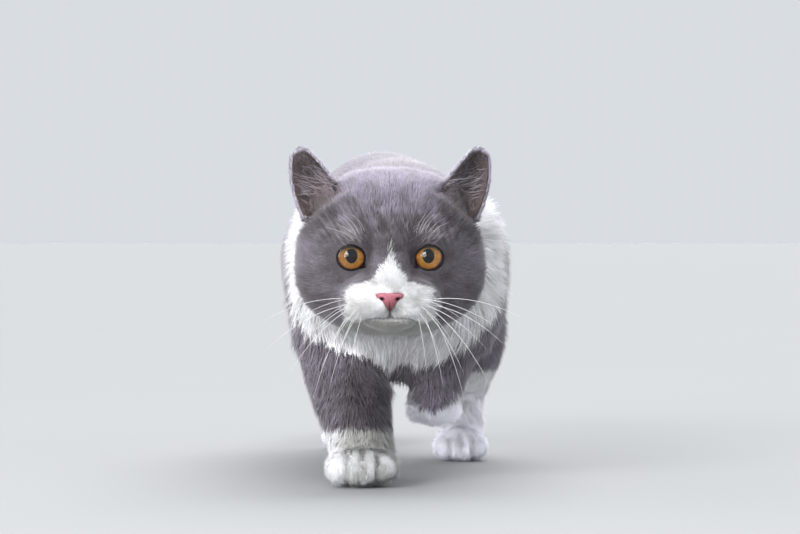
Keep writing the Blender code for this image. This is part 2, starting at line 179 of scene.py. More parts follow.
def whiteness(points):
    """Over 0 where the coat is white, in about millimetres from the edge of the marking."""
    out, back, up, height = on_face(points)
    muzzle = np.minimum(along_table(up, BLAZE) - out, BLAZE_BACK - back)
    low = np.maximum(MASK_TOP - up, 0) / MASK_DROP
    below_mask = ((out / MASK_HALF_WIDTH) ** MASK_POWER + low ** MASK_POWER - 1) * MASK_SCALE
    below_mask = np.where(up < MASK_TOP, below_mask, OUTSIDE)
    behind_cheeks = np.minimum(back - (COLLAR_BACK + COLLAR_LEAN * up), COLLAR_TOP - up)
    front = np.maximum(np.maximum(muzzle, below_mask), behind_cheeks)
    bib = np.minimum(front, height - along_table(out, BIB_EDGE))
    bib = np.minimum(bib, BIB_BACK + BIB_LEAN * (height - BIB_LEVEL) - back)
    under = BELLY_EDGE + BELLY_WAVE * np.sin(back / BELLY_WAVE_RUN) - height
    belly = np.minimum(under, back - BELLY_FRONT)
    socks = SOCK_TOP + SOCK_RISE * smoothstep(back, *HIND_LEGS) - height
    from_lifted = points - np.array(middle("forepaw_left"))
    mitt = MITT - np.linalg.norm(from_lifted / MM, axis=1)
    uneven = sum(rise * waves(points, run * MM, seed) for rise, run, seed in UNEVEN)
    uneven = uneven * smoothstep(back, *UNEVEN_BACK) * smoothstep(height, *UNEVEN_HEIGHT)
    return np.maximum.reduce([bib, belly, socks, mitt]) + uneven


# ---- Meshes as arrays ----

WEIGHT_STEPS = 32


def deselect():
    """Leaves nothing selected."""
    if bpy.context.object and bpy.context.object.mode != "OBJECT":
        bpy.ops.object.mode_set(mode="OBJECT")
    bpy.ops.object.select_all(action="DESELECT")


def take_up(obj):
    """Makes this the one selected and active object."""
    deselect()
    obj.select_set(True)
    bpy.context.view_layer.objects.active = obj


def linked(name, data):
    """A new object in the scene that holds this mesh, lamp or camera."""
    made = bpy.data.objects.new(name, data)
    bpy.context.scene.collection.objects.link(made)
    return made


def all_faces_out(obj):
    """Turns every face of a closed form outward."""
    take_up(obj)
    bpy.ops.object.mode_set(mode="EDIT")
    bpy.ops.mesh.select_all(action="SELECT")
    bpy.ops.mesh.normals_make_consistent(inside=False)
    bpy.ops.object.mode_set(mode="OBJECT")


def shaped(obj, kind, **settings):
    """Adds a modifier with these settings and applies it."""
    take_up(obj)
    modifier = obj.modifiers.new(kind.title(), kind)
    for name, value in settings.items():
        setattr(modifier, name, value)
    bpy.ops.object.modifier_apply(modifier=modifier.name)


def points_of(mesh):
    """The mesh's points as rows of an array."""
    places = np.empty(len(mesh.vertices) * 3, np.float32)
    mesh.vertices.foreach_get("co", places)
    return places.reshape(-1, 3).astype(float)


def normals_of(mesh):
    """The mesh's point normals as rows of an array."""
    rows = np.empty(len(mesh.vertices) * 3, np.float32)
    mesh.vertex_normals.foreach_get("vector", rows)
    return rows.reshape(-1, 3).astype(float)


def edges_of(mesh):
    """The mesh's edges as pairs of point numbers."""
    pairs = np.empty(len(mesh.edges) * 2, np.int32)
    mesh.edges.foreach_get("vertices", pairs)
    return pairs.reshape(-1, 2)


def move_points(mesh, places):
    """Puts the mesh's points at the rows of an array."""
    mesh.vertices.foreach_set("co", places.astype(np.float32).ravel())
    mesh.update()


def weigh(obj, name, weights):
    """A vertex group with these weights, rounded to a few steps."""
    group = obj.vertex_groups.new(name=name)
    steps = np.rint(np.clip(weights, 0, 1) * WEIGHT_STEPS).astype(int)
    for step in np.unique(steps):
        group.add(np.flatnonzero(steps == step).tolist(), step / WEIGHT_STEPS, "REPLACE")
    return group.name


def put_attribute(mesh, name, values, kind="FLOAT"):
    """Stores a value, or a vector, at each point of the mesh."""
    held = mesh.attributes.get(name) or mesh.attributes.new(name, kind, "POINT")
    field = "value" if kind == "FLOAT" else "vector"
    held.data.foreach_set(field, np.asarray(values, np.float32).ravel())


def values_of(mesh, name, width=1):
    """A stored attribute as an array."""
    held = mesh.attributes[name].data
    flat = np.empty(len(held) * width, np.float32)
    held.foreach_get("value" if width == 1 else "vector", flat)
    return (flat if width == 1 else flat.reshape(-1, width)).astype(float)


def blended(values, edges, rounds):
    """Values at the points after each has moved toward its neighbours' mean so many times."""
    first, second = edges.T
    count = len(values)
    shares = np.bincount(first, minlength=count) + np.bincount(second, minlength=count)
    values = values.reshape(count, -1).copy()
    for _ in range(rounds):
        for column in range(values.shape[1]):
            held = values[:, column]
            total = np.bincount(first, held[second], count) + np.bincount(second, held[first], count)
            values[:, column] = 0.5 * held + 0.5 * total / np.maximum(shares, 1)
    return values


def finish_piece(obj, slot, *replaced):
    """Says what the piece rides on and which nodes it stands for; its slot is not used."""
    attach(obj, BODY)
    if replaced:
        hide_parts(*replaced)
    return obj


# ---- Finishes ----

def new_finish(name, roughness, **sockets):
    """A node finish: (material, tree, shader) with these constants on its shader."""
    finish = bpy.data.materials.new(name)
    finish.use_nodes = True
    tree = finish.node_tree
    shader = tree.nodes["Principled BSDF"]
    shader.inputs["Roughness"].default_value = roughness
    for socket, value in sockets.items():
        shader.inputs[socket.replace("_", " ")].default_value = value
    return finish, tree, shader


def node(tree, kind, inputs=None, **settings):
    """Adds a node; inputs holds values, or sockets to link from, by input name or index."""
    made = tree.nodes.new("ShaderNode" + kind)
    for name, value in settings.items():
        setattr(made, name, value)
    for name, value in (inputs or {}).items():
        if isinstance(value, bpy.types.NodeSocket):
            tree.links.new(value, made.inputs[name])
        else:
            made.inputs[name].default_value = value
    return made


def attribute(tree, name):
    """The value stored under this name at the piece's points."""
    return node(tree, "Attribute", attribute_name=name).outputs["Fac"]


def own_place(tree):
    """The place on the piece, in metres."""
    return node(tree, "TexCoord").outputs["Object"]


def noise(tree, scale, detail=3.0, roughness=0.5):
    """Cloudy noise fixed to the piece; scale is in humps to the metre."""
    made = node(tree, "TexNoise", {"Vector": own_place(tree), "Scale": scale,
                                   "Detail": detail, "Roughness": roughness})
    return made.outputs["Fac"]


def mixed(tree, factor, first, second, blend="MIX"):
    """Two colours mixed by a factor."""
    made = node(tree, "Mix", {0: factor, 6: first, 7: second}, data_type="RGBA", blend_type=blend)
    return made.outputs[2]


def mapped(tree, value, start, end, low, high):
    """A value carried from one range to another."""
    made = node(tree, "MapRange", {"Value": value, 1: start, 2: end, 3: low, 4: high})
    return made.outputs[0]


def shaded(tree, colour, value):
    """A colour with its brightness multiplied."""
    made = node(tree, "HueSaturation", {"Color": colour, "Value": value})
    return made.outputs["Color"]


def math_node(tree, operation, first, second):
    """One sum of two values."""
    return node(tree, "Math", {0: first, 1: second}, operation=operation).outputs[0]


def bumped(tree, shader, height, distance, strength=1.0):
    """Adds a bump of this depth in metres to the shader."""
    made = node(tree, "Bump", {"Height": height, "Distance": distance, "Strength": strength})
    tree.links.new(made.outputs["Normal"], shader.inputs["Normal"])


def rgba(colour):
    """A colour property as four numbers."""
    return (*colour, 1.0)


TUFT_VALUE = (0.42, 1.58)                # a tuft's brightness at the ends of its tint
CLOUD_VALUE = (0.88, 1.10)               # and that of the clouds over the whole coat
WARM_CAST = (1.03, 1.01, 0.95, 1.0)      # dark tufts lean to brown and light ones to blue
COOL_CAST = (0.99, 0.985, 1.06, 1.0)


def coat_finish(name, root, body, tip):
    """Hair of one colour: darker at its roots, lighter at its tips, each tuft a little different."""
    finish, tree, shader = new_finish(name, 0.62, Sheen_Weight=0.35, Sheen_Roughness=0.45)
    shader.inputs["Specular IOR Level"].default_value = 0.28
    along = attribute(tree, "along")
    tint = attribute(tree, "tint")
    lower = mixed(tree, mapped(tree, along, 0.0, 0.55, 0.0, 1.0), rgba(root), rgba(body))
    upper = mixed(tree, mapped(tree, along, 0.45, 1.0, 0.0, 1.0), lower, rgba(tip))
    cloud = mapped(tree, noise(tree, 70.0, 2.0), 0.3, 0.7, *CLOUD_VALUE)
    value = math_node(tree, "MULTIPLY", cloud, mapped(tree, tint, 0.0, 1.0, *TUFT_VALUE))
    cast = mixed(tree, tint, WARM_CAST, COOL_CAST)
    toned = mixed(tree, 1.0, shaded(tree, upper, value), cast, "MULTIPLY")
    tree.links.new(toned, shader.inputs["Base Color"])
    return finish


def skin_finish(settings, coat):
    """Underfur in the markings' colours, bare skin in the ears darkened deep inside with painted shade of the
    hollow, and dark rims to the lids.
    """
    finish, tree, shader = new_finish("skin_and_underfur", 0.6)
    shader.inputs["Specular IOR Level"].default_value = 0.25
    fleck = noise(tree, 900.0, 2.0, 0.7)
    slate = mixed(tree, fleck, rgba(coat.slate_root), rgba(coat.slate_body))
    white = mixed(tree, fleck, rgba(coat.white_root), rgba(coat.white_body))
    fur = mixed(tree, attribute(tree, "white"), slate, white)
    # bare skin of the ears' openings: dark with painted shade deep inside, pink near the edges
    bare = mixed(tree, attribute(tree, "blush"), rgba(settings.shaded_ear_skin), rgba(settings.ear_edge))
    bare = shaded(tree, bare, mapped(tree, fleck, 0.2, 0.8, 0.75, 1.25))
    colour = mixed(tree, attribute(tree, "bare"), fur, bare)
    lips = mixed(tree, attribute(tree, "lip"), colour, rgba(settings.lip))
    rim = attribute(tree, "rim")
    rims = mixed(tree, rim, lips, rgba(settings.lid_rim))
    tree.links.new(rims, shader.inputs["Base Color"])
    tree.links.new(mapped(tree, rim, 0.0, 1.0, 0.62, 0.30), shader.inputs["Roughness"])
    bumped(tree, shader, noise(tree, 1500.0, 2.0), 0.0002)
    return finish


# ---- What a user may change ----

def colour(name, description, default):
    """A colour property."""
    return FloatVectorProperty(name=name, description=description, subtype="COLOR",
                               size=3, min=0.0, max=1.0, default=default)


def size(name, description, default):
    """A length property in metres."""
    return FloatProperty(name=name, description=description, default=default,
                         min=0.0, unit="LENGTH", subtype="DISTANCE", precision=5)


def share(name, description, default, top=4.0):
    """A plain number property."""
    return FloatProperty(name=name, description=description, default=default, min=0.0, max=top)


class SkinSettings(bpy.types.PropertyGroup):
    """Bare skin of the ears, lids and lips."""

    # painted shade of the ears' hollows, darkest deep inside
    shaded_ear_skin: colour("Ear skin", "Bare skin deep in the ears", (0.040, 0.030, 0.031))
    ear_edge: colour("Ear edge", "Bare skin near the ears' outer edges", (0.27, 0.170, 0.155))
    lip: colour("Lip", "Skin of the mouth line", (0.060, 0.030, 0.030))
    lid_rim: colour("Lid rim", "The dark rim of the eyelids", (0.012, 0.007, 0.007))


class EyeSettings(bpy.types.PropertyGroup):
    """The eyes."""

    iris_inner: colour("Iris near the pupil", "The iris round the pupil", (0.42, 0.215, 0.05))
    iris_outer: colour("Iris", "The iris over most of its width", (0.53, 0.205, 0.045))
    iris_edge: colour("Iris edge", "The dark ring at the iris's rim", (0.10, 0.030, 0.008))
    pupil_width: size("Pupil width", "Across the pupil", 0.0063)
    pupil_height: size("Pupil height", "The pupil from top to bottom", 0.0078)


class NoseSettings(bpy.types.PropertyGroup):
    """The nose leather."""

    leather: colour("Nose leather", "The pink leather", (0.45, 0.125, 0.165))
    # painted shade deep in the nostrils
    nostril: colour("Nostril", "Inside the nostrils", (0.045, 0.008, 0.010))


class CoatSettings(bpy.types.PropertyGroup):
    """The coat and its two colours."""

    slate_root: colour("Slate root", "Grey hair at its root", (0.105, 0.093, 0.109))
    slate_body: colour("Slate", "Grey hair at its middle", (0.160, 0.142, 0.168))
    slate_tip: colour("Slate tip", "Grey hair at its tip", (0.335, 0.298, 0.352))
    # short hair in the ears' openings, darkened with painted shade of the hollow
    ear_root: colour("Ear hair root", "Short hair in the ears at its root", (0.040, 0.032, 0.033))
    ear_body: colour("Ear hair", "Short hair in the ears at its middle", (0.120, 0.095, 0.096))
    ear_tip: colour("Ear hair tip", "Short hair in the ears at its tip", (0.275, 0.225, 0.230))
    furnishing: colour("Ear tufts", "Long pale hair that crosses the ears", (0.40, 0.36, 0.38))
    # pale hair whose brightness is painted rim light along the ears' edges
    ear_rim_light: colour("Ear rims", "Pale hair along the edges of the ears", (0.70, 0.66, 0.74))
    white_root: colour("White root", "White hair at its root", (0.88, 0.88, 0.885))
    white_body: colour("White", "White hair at its middle", (0.93, 0.93, 0.937))
    white_tip: colour("White tip", "White hair at its tip", (0.95, 0.95, 0.957))
    density: share("Density", "Tufts laid, as a share of the usual number", 1.0)


class WhiskerSettings(bpy.types.PropertyGroup):
    """Whiskers and brow hairs."""

    longest: size("Longest whisker", "Length of the longest whisker", 0.062)
    thickness: size("Thickness", "Across a whisker at its root", 0.00036)
    tone: colour("Whisker", "The whiskers' colour", (0.90, 0.90, 0.88))


class StageSettings(bpy.types.PropertyGroup):
    """Floor, light and camera."""

    floor: colour("Floor", "The floor's colour", (0.33, 0.335, 0.34))
    sky: colour("Surround", "Light from all round", (0.86, 0.90, 0.95))
    lens: FloatProperty(name="Lens", description="The camera's focal length",
                        default=135.0, unit="CAMERA")


def settings_of(name):
    """One group of the settings."""
    return getattr(bpy.context.scene, "cat_" + name)


# ---- The skin ----

GROWTH = 0.5 * MM                        # each solid grows by this, so that its neighbours meet
VOXEL = 1.3 * MM
BROAD_ROUNDS = 46                        # rounds of smoothing on the trunk
FINE_ROUNDS = 5                          # and all over after that
BROAD_BACK = (0, 45)                     # the broad smoothing grows behind the face, over these
BROAD_HEIGHT = (32, 78)                  # and over the feet
TAIL_FROM = 360                          # and takes the whole tail behind this
BROAD_LEAST = 0.10                       # its least share, of which the ears then keep little
EARS_SPARED = 0.93
MOST_SKIN_TRIANGLES = 186000
FLOOR_GAP = 0.4 * MM                     # under the soles

# How the coat lies on each solid (x, y, z), and its length in millimetres.
COAT = {
    "head": ((0, 1, 0.1), 8.0),
    "lower_jaw": ((0, 0.8, -0.6), 7.0),
    "neck": ((0, 0.9, -0.6), 17.0),
    "chest": ((0, 0.9, -0.6), 15.0),
    "belly": ((0, 1, -0.35), 14.0),
    "rump": ((0, 1, -0.4), 14.0),
    "foreleg_left": ((0, 0.25, -1), 9.5),
    "foreleg_right": ((0, 0.25, -1), 9.5),
    "forepaw_left": ((0, 0.6, -0.8), 5.0),
    "forepaw_right": ((0, -0.6, -0.7), 5.0),
    "thigh_left": ((0, 0.8, -0.9), 13.0),
    "thigh_right": ((0, 0.8, -0.9), 13.0),
    "lower_leg_left": ((0, 0.2, -1), 8.5),
    "lower_leg_right": ((0, 0.2, -1), 8.5),
    "hindpaw_left": ((0, -0.6, -0.7), 5.0),
    "hindpaw_right": ((0, -0.6, -0.7), 5.0),
    "ear_left": ((0.25, 0.1, 0.95), 3.2),
    "ear_right": ((-0.25, 0.1, 0.95), 3.2),
    "tail_root": ((0, 0.8, -0.6), 14.0),
    "tail_middle": ((0, 0.9, -0.4), 15.0),
    "tail_tip": ((0, 1, -0.1), 15.0),
    "eye_left": ((0, 0, 1), 1.0),
    "eye_right": ((0, 0, 1), 1.0),
    "nose": ((0, 0, 1), 1.0),
}
EARS = ("ear_left", "ear_right")
HEAD = ("head", "lower_jaw", "nose", "eye_left", "eye_right")
BREAST = ("neck", "chest", "foreleg_right", "foreleg_left")
BREAST_LIE = (0, -0.35, -0.94)           # its hair hangs straight down, and a little forward
BREAST_END = (96, 112)                   # heights over the floor
FLOW_ROUNDS = 60                         # rounds in which neighbouring directions blend
LENGTH_ROUNDS = 40
EAR_COAT = 3.0
EAR_RISE = (0.22, 0.06, 0.97)            # the way from the left ear's root to its tip
# The coat's length at distances from the nose tip.
FACE_COAT = ((0, 1.6), (9, 2.2), (18, 3.0), (30, 4.5), (45, 6.0), (62, 7.5), (85, 9.5))
CHEEK_COAT = 4.0                         # this much longer on the cheeks
HEAD_BACK = (34, 66)                     # where the face's coat gives way to the body's
EYE_COAT = (10.5, 21, 0.16)              # round an eye: from here to there, and the share left
SHORTEST_COAT = 0.9
EYE_PARTING = (3.0, 10, 5.5)             # how strongly it turns from an eye, from where, how wide
EYE_RIM_COAT = (0.8, 0.42, 10.6)         # its length at the lids, its growth, and from where
# The coat's depth over the skin: nearly half a short coat's length, and less of a long one's.
SHORT_COAT = 5
SHORT_DEPTH = 0.45
LONG_DEPTH = 0.36
EAR_DEPTH = 0.75 * MM

# The opening of the lids as seen from the front, from the eye's middle.
OPEN_SIDE = 8.5
OPEN_UP = 6.9
OPEN_DOWN = 7.7
CANTHUS_TURN = math.radians(-36)         # the inner corner points down to the nose
CANTHUS_REACH = 1.0
CANTHUS_SPREAD = math.radians(14)
# Across a lid: (outward along the ball, height over the ball).
LID_PROFILE = ((-0.5, -0.8), (-0.45, 0.20), (-0.15, 0.65), (0.25, 0.90), (0.75, 0.85), (1.25, 0.40),
               (1.8, -0.4), (2.0, -2.0), (0.8, -2.0))
UPPER_LID = 0.25                         # the upper lid is stouter by this share
LID_FIT = 0.6 * MM                       # the lids' edge stands this far off the ball
STEEPEST = 0.94                          # past this sine of its lean, a lid runs straight on
LID_WIDTH = 0.45                         # the coat begins this far past the opening
LID_STEPS = 72
RIM_FADE = 11.0                          # how far from the lids the skin is still shaped to meet them
BALL_GAP = 0.55                          # the skin keeps this far off the eyeball
LID_RISE = (0.7, 0.50, 0.22)             # it may rise this far over the ball, and more farther out
BEHIND_EYE = -4                          # how far ahead of the ball's middle it is shaped
AHEAD_OF_EYE = 32
SUNK = 0.42                              # of the ball's radius, where the skin hides behind it
TEAR_START = 7                           # the dark corner, from the eye's middle
TEAR_WIDE = 9
TEAR_END = 13.5
TEAR_WIDTH = 1.3

PAWS = (("forepaw_right", -1), ("forepaw_left", 1), ("hindpaw_left", -1), ("hindpaw_right", -1))
TOE_SPACING = 0.42                       # between the clefts, as a share of half the paw's width
TOE_GROOVE = 2.6
TOE_WIDTH = 1.5
TOE_LENGTH = (9, 17)
# Edges of the ear's opening, as (out, over the eyes): the lower one, and the one nearer the crown.
EAR_LINE = ((27.0, 34.0), (53.4, 11.5))
EAR_INNER_LINE = ((28.4, 41.3), (52.8, 66.0))
EAR_BACK = (46, 58)
EAR_HOLLOW = 1.3                         # its depth in the ear, and in the head below the ear
HEAD_HOLLOW = 4.5
EAR_SLANT = 24                           # the inner edge runs this far outward, root to tip
EAR_CORNER = (5.0, 9.0)                  # the spread of the short coat beside the inner edge
EAR_CORNER_BACK = 34
MOUTH_LINE = ((0.0, -30.0), (0.0, -33.0), (0.0, -36.3), (3.0, -36.9), (7.0, -36.5), (11.5, -36.8),
              (15.5, -38.2), (18.5, -40.5))
MOUTH_BACK = 6
MOUTH_DEPTH = 2.2
MOUTH_WIDTH = 1.4
LIP_WIDTH = 1.3
LIP_COAT = 0.30                          # the share of the coat's length that is left on the lips
LIP_COAT_RISE = (0.2, 3.6)               # over the mouth
TOE_TRIM = 0.5                           # how much shorter it is between the toes,
CLEFT_TRIM = 0.55                        # under the nose,
EAR_TRIM = 0.45                          # in the ears
EAR_CORNER_TRIM = 0.5                    # and beside their inner edges
CHIN_BACK = (0, 0.8 * MM, 1.2 * MM)      # the chin stands back and up by this
PAD = ((12.5, -30), (7.5, 6.0))          # the whisker pads' middle and spread
PAD_SWELL = 1.1
PAD_CLEFT = (0.8, 2.6)                   # the depth and width of the dip between them
NOSE_BED = 2.0 * MM                      # the skin under the nose leather lies this far back


def opening(turn):
    """How far the lids' opening reaches at a turn from the nose side, upward turns positive."""
    across = np.cos(turn)
    rise = np.sin(turn)
    tall = np.where(rise > 0, OPEN_UP, OPEN_DOWN)
    reach = 1 / np.sqrt((across / OPEN_SIDE) ** 2 + (rise / tall) ** 2)
    aside = np.abs(np.angle(np.exp(1j * (turn - CANTHUS_TURN))))
    return reach + CANTHUS_REACH * np.exp(-(aside / CANTHUS_SPREAD) ** 2)


def opening_tilt(turn):
    """The same reach as an angle at the eyeball's middle."""
    share = opening(turn) * MM / (BALL + LID_FIT)
    return np.arcsin(np.minimum(share, STEEPEST)) + 1.5 * np.maximum(share - STEEPEST, 0)


def round_eye(points, side_name, side):
    """(turn, tilt, distance) of points round one eyeball's middle."""
    away = points - np.array(EYE[side_name])
    inward = -side * away[:, 0]
    turn = np.arctan2(away[:, UP], inward)
    distance = np.linalg.norm(away, axis=1)
    tilt = np.arccos(np.clip(-away[:, BACK] / np.maximum(distance, 1e-9), -1, 1))
    return turn, tilt, distance


def tear_corner(points):
    """1 in the dark corner that runs from each eye toward the nose."""
    mark = np.zeros(len(points))
    for name, side in SIDES:
        turn, tilt, distance = round_eye(points, name, side)
        reach = distance * np.sin(tilt) / MM
        along = reach * np.cos(turn - CANTHUS_TURN)
        aside = np.abs(reach * np.sin(turn - CANTHUS_TURN))
        here = (tilt < 1.5) & (along > TEAR_START) & (along < TEAR_END)
        width = TEAR_WIDTH * (1 - smoothstep(along, TEAR_WIDE, TEAR_END))
        dark = 1 - smoothstep(aside, width, width + 0.7)
        mark = np.where(here, np.maximum(mark, dark), mark)
    return mark


def gather_flesh():
    """One closed skin, joined from copies of all the solids."""
    deselect()
    for name in NODES:
        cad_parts[name].select_set(True)
    bpy.context.view_layer.objects.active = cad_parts["head"]
    bpy.ops.object.duplicate()
    bpy.ops.object.join()
    skin = bpy.context.object
    skin.parent = None
    for key in list(skin.keys()):
        del skin[key]
    skin.name = skin.data.name = "skin"
    skin.data.materials.clear()
    bpy.ops.object.mode_set(mode="EDIT")
    bpy.ops.mesh.select_all(action="SELECT")
    bpy.ops.mesh.remove_doubles(threshold=0.01 * MM)
    bpy.ops.object.mode_set(mode="OBJECT")
    shaped(skin, "DISPLACE", strength=GROWTH, mid_level=0.0)
    shaped(skin, "REMESH", mode="VOXEL", voxel_size=VOXEL)
    return skin


def nearest_nodes(points):
    """The index in NODES of the solid nearest to each point."""
    corners, faces, owners = [], [], []
    for index, name in enumerate(NODES):
        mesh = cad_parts[name].data
        start = len(corners)
        corners.extend(vertex.co.copy() for vertex in mesh.vertices)
        for polygon in mesh.polygons:
            faces.append([start + at for at in polygon.vertices])
            owners.append(index)
    tree = BVHTree.FromPolygons(corners, faces)
    return np.array([owners[tree.find_nearest(Vector(point))[2]] for point in points])


def owned_by(owners, names):
    """True where the nearest solid is one of these."""
    return np.isin(owners, [NODES.index(name) for name in names])


def smooth_form(skin):
    """Smooths the skin as one form, most on the trunk and hardly on ears and feet."""
    places = points_of(skin.data)
    _, back, _, height = on_face(places)
    ears = owned_by(nearest_nodes(places), EARS).astype(float)
    ears = np.clip(blended(ears, edges_of(skin.data), 6)[:, 0], 0, 1)
    broad = smoothstep(back, *BROAD_BACK) * smoothstep(height, *BROAD_HEIGHT)
    broad = np.where(back > TAIL_FROM, 1.0, broad)
    broad = np.clip(BROAD_LEAST + (1 - BROAD_LEAST) * broad, 0, 1) * (1 - EARS_SPARED * ears)
    shaped(skin, "SMOOTH", iterations=BROAD_ROUNDS, factor=0.5, vertex_group=weigh(skin, "broad", broad))
    shaped(skin, "SMOOTH", iterations=FINE_ROUNDS, factor=0.5)
    skin.data.calc_loop_triangles()
    triangles = len(skin.data.loop_triangles)
    if triangles > MOST_SKIN_TRIANGLES:
        shaped(skin, "DECIMATE", ratio=MOST_SKIN_TRIANGLES / triangles)
    skin.vertex_groups.clear()


def coat_length(points, base):
    """The coat's length in millimetres: short on the face, plush on the body."""
    out, back, up, _ = on_face(points)
    from_nose = np.linalg.norm(points - np.array(NOSE_TIP), axis=1) / MM
    face = along_table(from_nose, FACE_COAT)
    cheek = smoothstep(out, 34, 52) * smoothstep(-up, -12, 14) * smoothstep(back, -6, 20)
    face = face + CHEEK_COAT * cheek
    on_head = 1 - smoothstep(back, *HEAD_BACK)
    length = np.where(on_head > 0, np.minimum(base, face) * on_head + base * (1 - on_head), base)
    start, end, left = EYE_COAT
    for name, side in SIDES:
        _, _, distance = round_eye(points, name, side)
        length *= left + (1 - left) * smoothstep(distance / MM, start, end)
    return np.maximum(length, SHORTEST_COAT)


def base_length(owners, ear, edges):
    """Each solid's own length of coat, blended over their borders."""
    base = np.array([COAT[name][1] for name in NODES])[owners]
    base = blended(np.where(ear, COAT["ear_left"][1], base), edges, LENGTH_ROUNDS)[:, 0]
    return np.where(ear, EAR_COAT, base)


def lie_of_coat(places, normals, owners, edges):
    """(the way the coat lies, how far that stands off the surface before it is laid flat)."""
    lie = unit(np.array([COAT[name][0] for name in NODES], float))[owners]
    from_nose = unit(places - np.array(NOSE_TIP) - np.array((0, 4 * MM, 0)))
    lie = np.where(owned_by(owners, HEAD)[:, None], from_nose, lie)
    breast = owned_by(owners, BREAST) * smoothstep(-normals[:, BACK], -0.1, 0.5)
    breast = (breast * (1 - smoothstep(height_of(places), *BREAST_END)))[:, None]
    lie = lie * (1 - breast) + np.array(BREAST_LIE) * breast
    stand = (lie * normals).sum(1)
    lie = lie - normals * stand[:, None]
    lie = unit(blended(unit(lie), edges, FLOW_ROUNDS))
    lie = unit(along_surface(lie, normals))
    for name, side in SIDES:
        own = owners == NODES.index("ear_" + name)
        up_ear = np.array(EAR_RISE) * (side, 1, 1)
        along_ear = up_ear - normals * (normals @ up_ear)[:, None]
        lie = np.where(own[:, None], unit(along_ear), lie)
    return lie, stand


def lie_round_eyes(places, normals, lie, length):
    """Turns the coat away from each eye all round it, and shortens it there."""
    strength, parting, width = EYE_PARTING
    least, growth, start = EYE_RIM_COAT
    for name, _ in SIDES:
        away = places - np.array(EYE[name])
        distance = np.linalg.norm(away, axis=1) / MM
        near = strength * hump(np.clip(distance - parting, 0, None), 0, width)
        aside = along_surface(away * (1, 0, 1), normals)
        lie = lie + unit(aside) * near[:, None]
        length = np.minimum(length, least + growth * np.clip(distance - start, 0, None))
    return unit(along_surface(lie, normals)), length


def set_back(places, normals, length, ear):
    """Lowers the skin by the coat's depth, so that the tips of the coat keep the true outline."""
    long_coat = SHORT_DEPTH * SHORT_COAT + LONG_DEPTH * (length - SHORT_COAT)
    depth = np.where(length < SHORT_COAT, SHORT_DEPTH * length, long_coat) * MM
    depth = np.where(ear, EAR_DEPTH, depth)
    return places - normals * depth[:, None]


def past_lids(points, name, side):
    """Seen from the front, in millimetres: (past the lids, ahead of the ball's middle, off its axis)."""
    away = (points - np.array(EYE[name])) / MM
    turn, _, _ = round_eye(points, name, side)
    aside = np.hypot(away[:, 0], away[:, UP])
    return aside - opening(turn) - LID_WIDTH, -away[:, BACK], aside


def open_eyes(places):
    """Draws the skin in behind each eyeball where the lids are open, and seats it round them."""
    ball = BALL / MM
    over, slope, curve = LID_RISE
    for name, side in SIDES:
        centre = np.array(EYE[name])
        past, ahead, aside = past_lids(places, name, side)
        near = (ahead > BEHIND_EYE) & (ahead < AHEAD_OF_EYE)
        around = near & (past >= 0) & (past < RIM_FADE)
        lowest = np.sqrt(np.clip((ball + BALL_GAP) ** 2 - aside ** 2, 0, None))
        lowest = np.where(aside < ball + BALL_GAP, lowest, -99)
        rim = np.sqrt((ball + over) ** 2 - np.minimum(aside - past, ball) ** 2)
        highest = np.maximum(rim + slope * past + curve * past ** 2, lowest)
        ahead = np.where(around, np.clip(ahead, lowest, highest), ahead)
        places[:, BACK] = centre[BACK] - ahead * MM
        away = places - centre
        sunk = centre + away * (SUNK * BALL / np.maximum(np.linalg.norm(away, axis=1), 1e-9))[:, None]
        places = np.where((near & (past < 0))[:, None], sunk, places)
    return places


def from_line(points, line):
    """Distance in millimetres to a line drawn on both sides of the face, seen from the front."""
    out, _, up, _ = on_face(points)
    nearest = np.full(len(points), 1e9)
    for (x0, z0), (x1, z1) in zip(line, line[1:]):
        run = (x1 - x0) ** 2 + (z1 - z0) ** 2
        share = np.clip(((out - x0) * (x1 - x0) + (up - z0) * (z1 - z0)) / run, 0, 1)
        gone = np.hypot(out - x0 - share * (x1 - x0), up - z0 - share * (z1 - z0))
        nearest = np.minimum(nearest, gone)
    return nearest


def cut_mouth(places, normals):
    """Presses the line of the mouth and the cleft under the nose into the muzzle."""
    _, back, _, _ = on_face(places)
    away = np.where(back < MOUTH_BACK, from_line(places, MOUTH_LINE), 99.0)
    dent = MOUTH_DEPTH * MM * hump(away, 0, MOUTH_WIDTH)
    return places - normals * dent[:, None], hump(away, 0, LIP_WIDTH)


def under_nose(places):
    """1 along the cleft between nose and mouth, falling to 0 beside it."""
    out, back, up, _ = on_face(places)
    span = hump(out, 0, 1.2) * smoothstep(-up, 29, 31) * (1 - smoothstep(-up, 37, 39))
    return span * (back < MOUTH_BACK)


def above_mouth(places):
    """How far in millimetres a point is over the mouth's line; large where it is below it."""
    out, back, up, _ = on_face(places)
    line = along_table(out, MOUTH_LINE[2:])
    over = np.where((up > line) & (out < MOUTH_LINE[-1][0]), up - line, 9.0)
    return np.where(back < MOUTH_BACK, over, 9.0)


def receding_chin(places):
    """1 on the chin, which stands back under the muzzle."""
    out, back, up, _ = on_face(places)
    return smoothstep(-up, 37.0, 40.0) * (1 - smoothstep(out, 17, 27)) * (1 - smoothstep(back, 3, 17))


def beside_line(places, line):
    """(along, over) in millimetres from a straight line on both sides of the face, seen from the front."""
    out, _, up, _ = on_face(places)
    (x0, z0), (x1, z1) = line
    run = math.hypot(x1 - x0, z1 - z0)
    across = ((x1 - x0) / run, (z1 - z0) / run)
    along = (out - x0) * across[0] + (up - z0) * across[1]
    return along, (up - z0) * across[0] - (out - x0) * across[1]


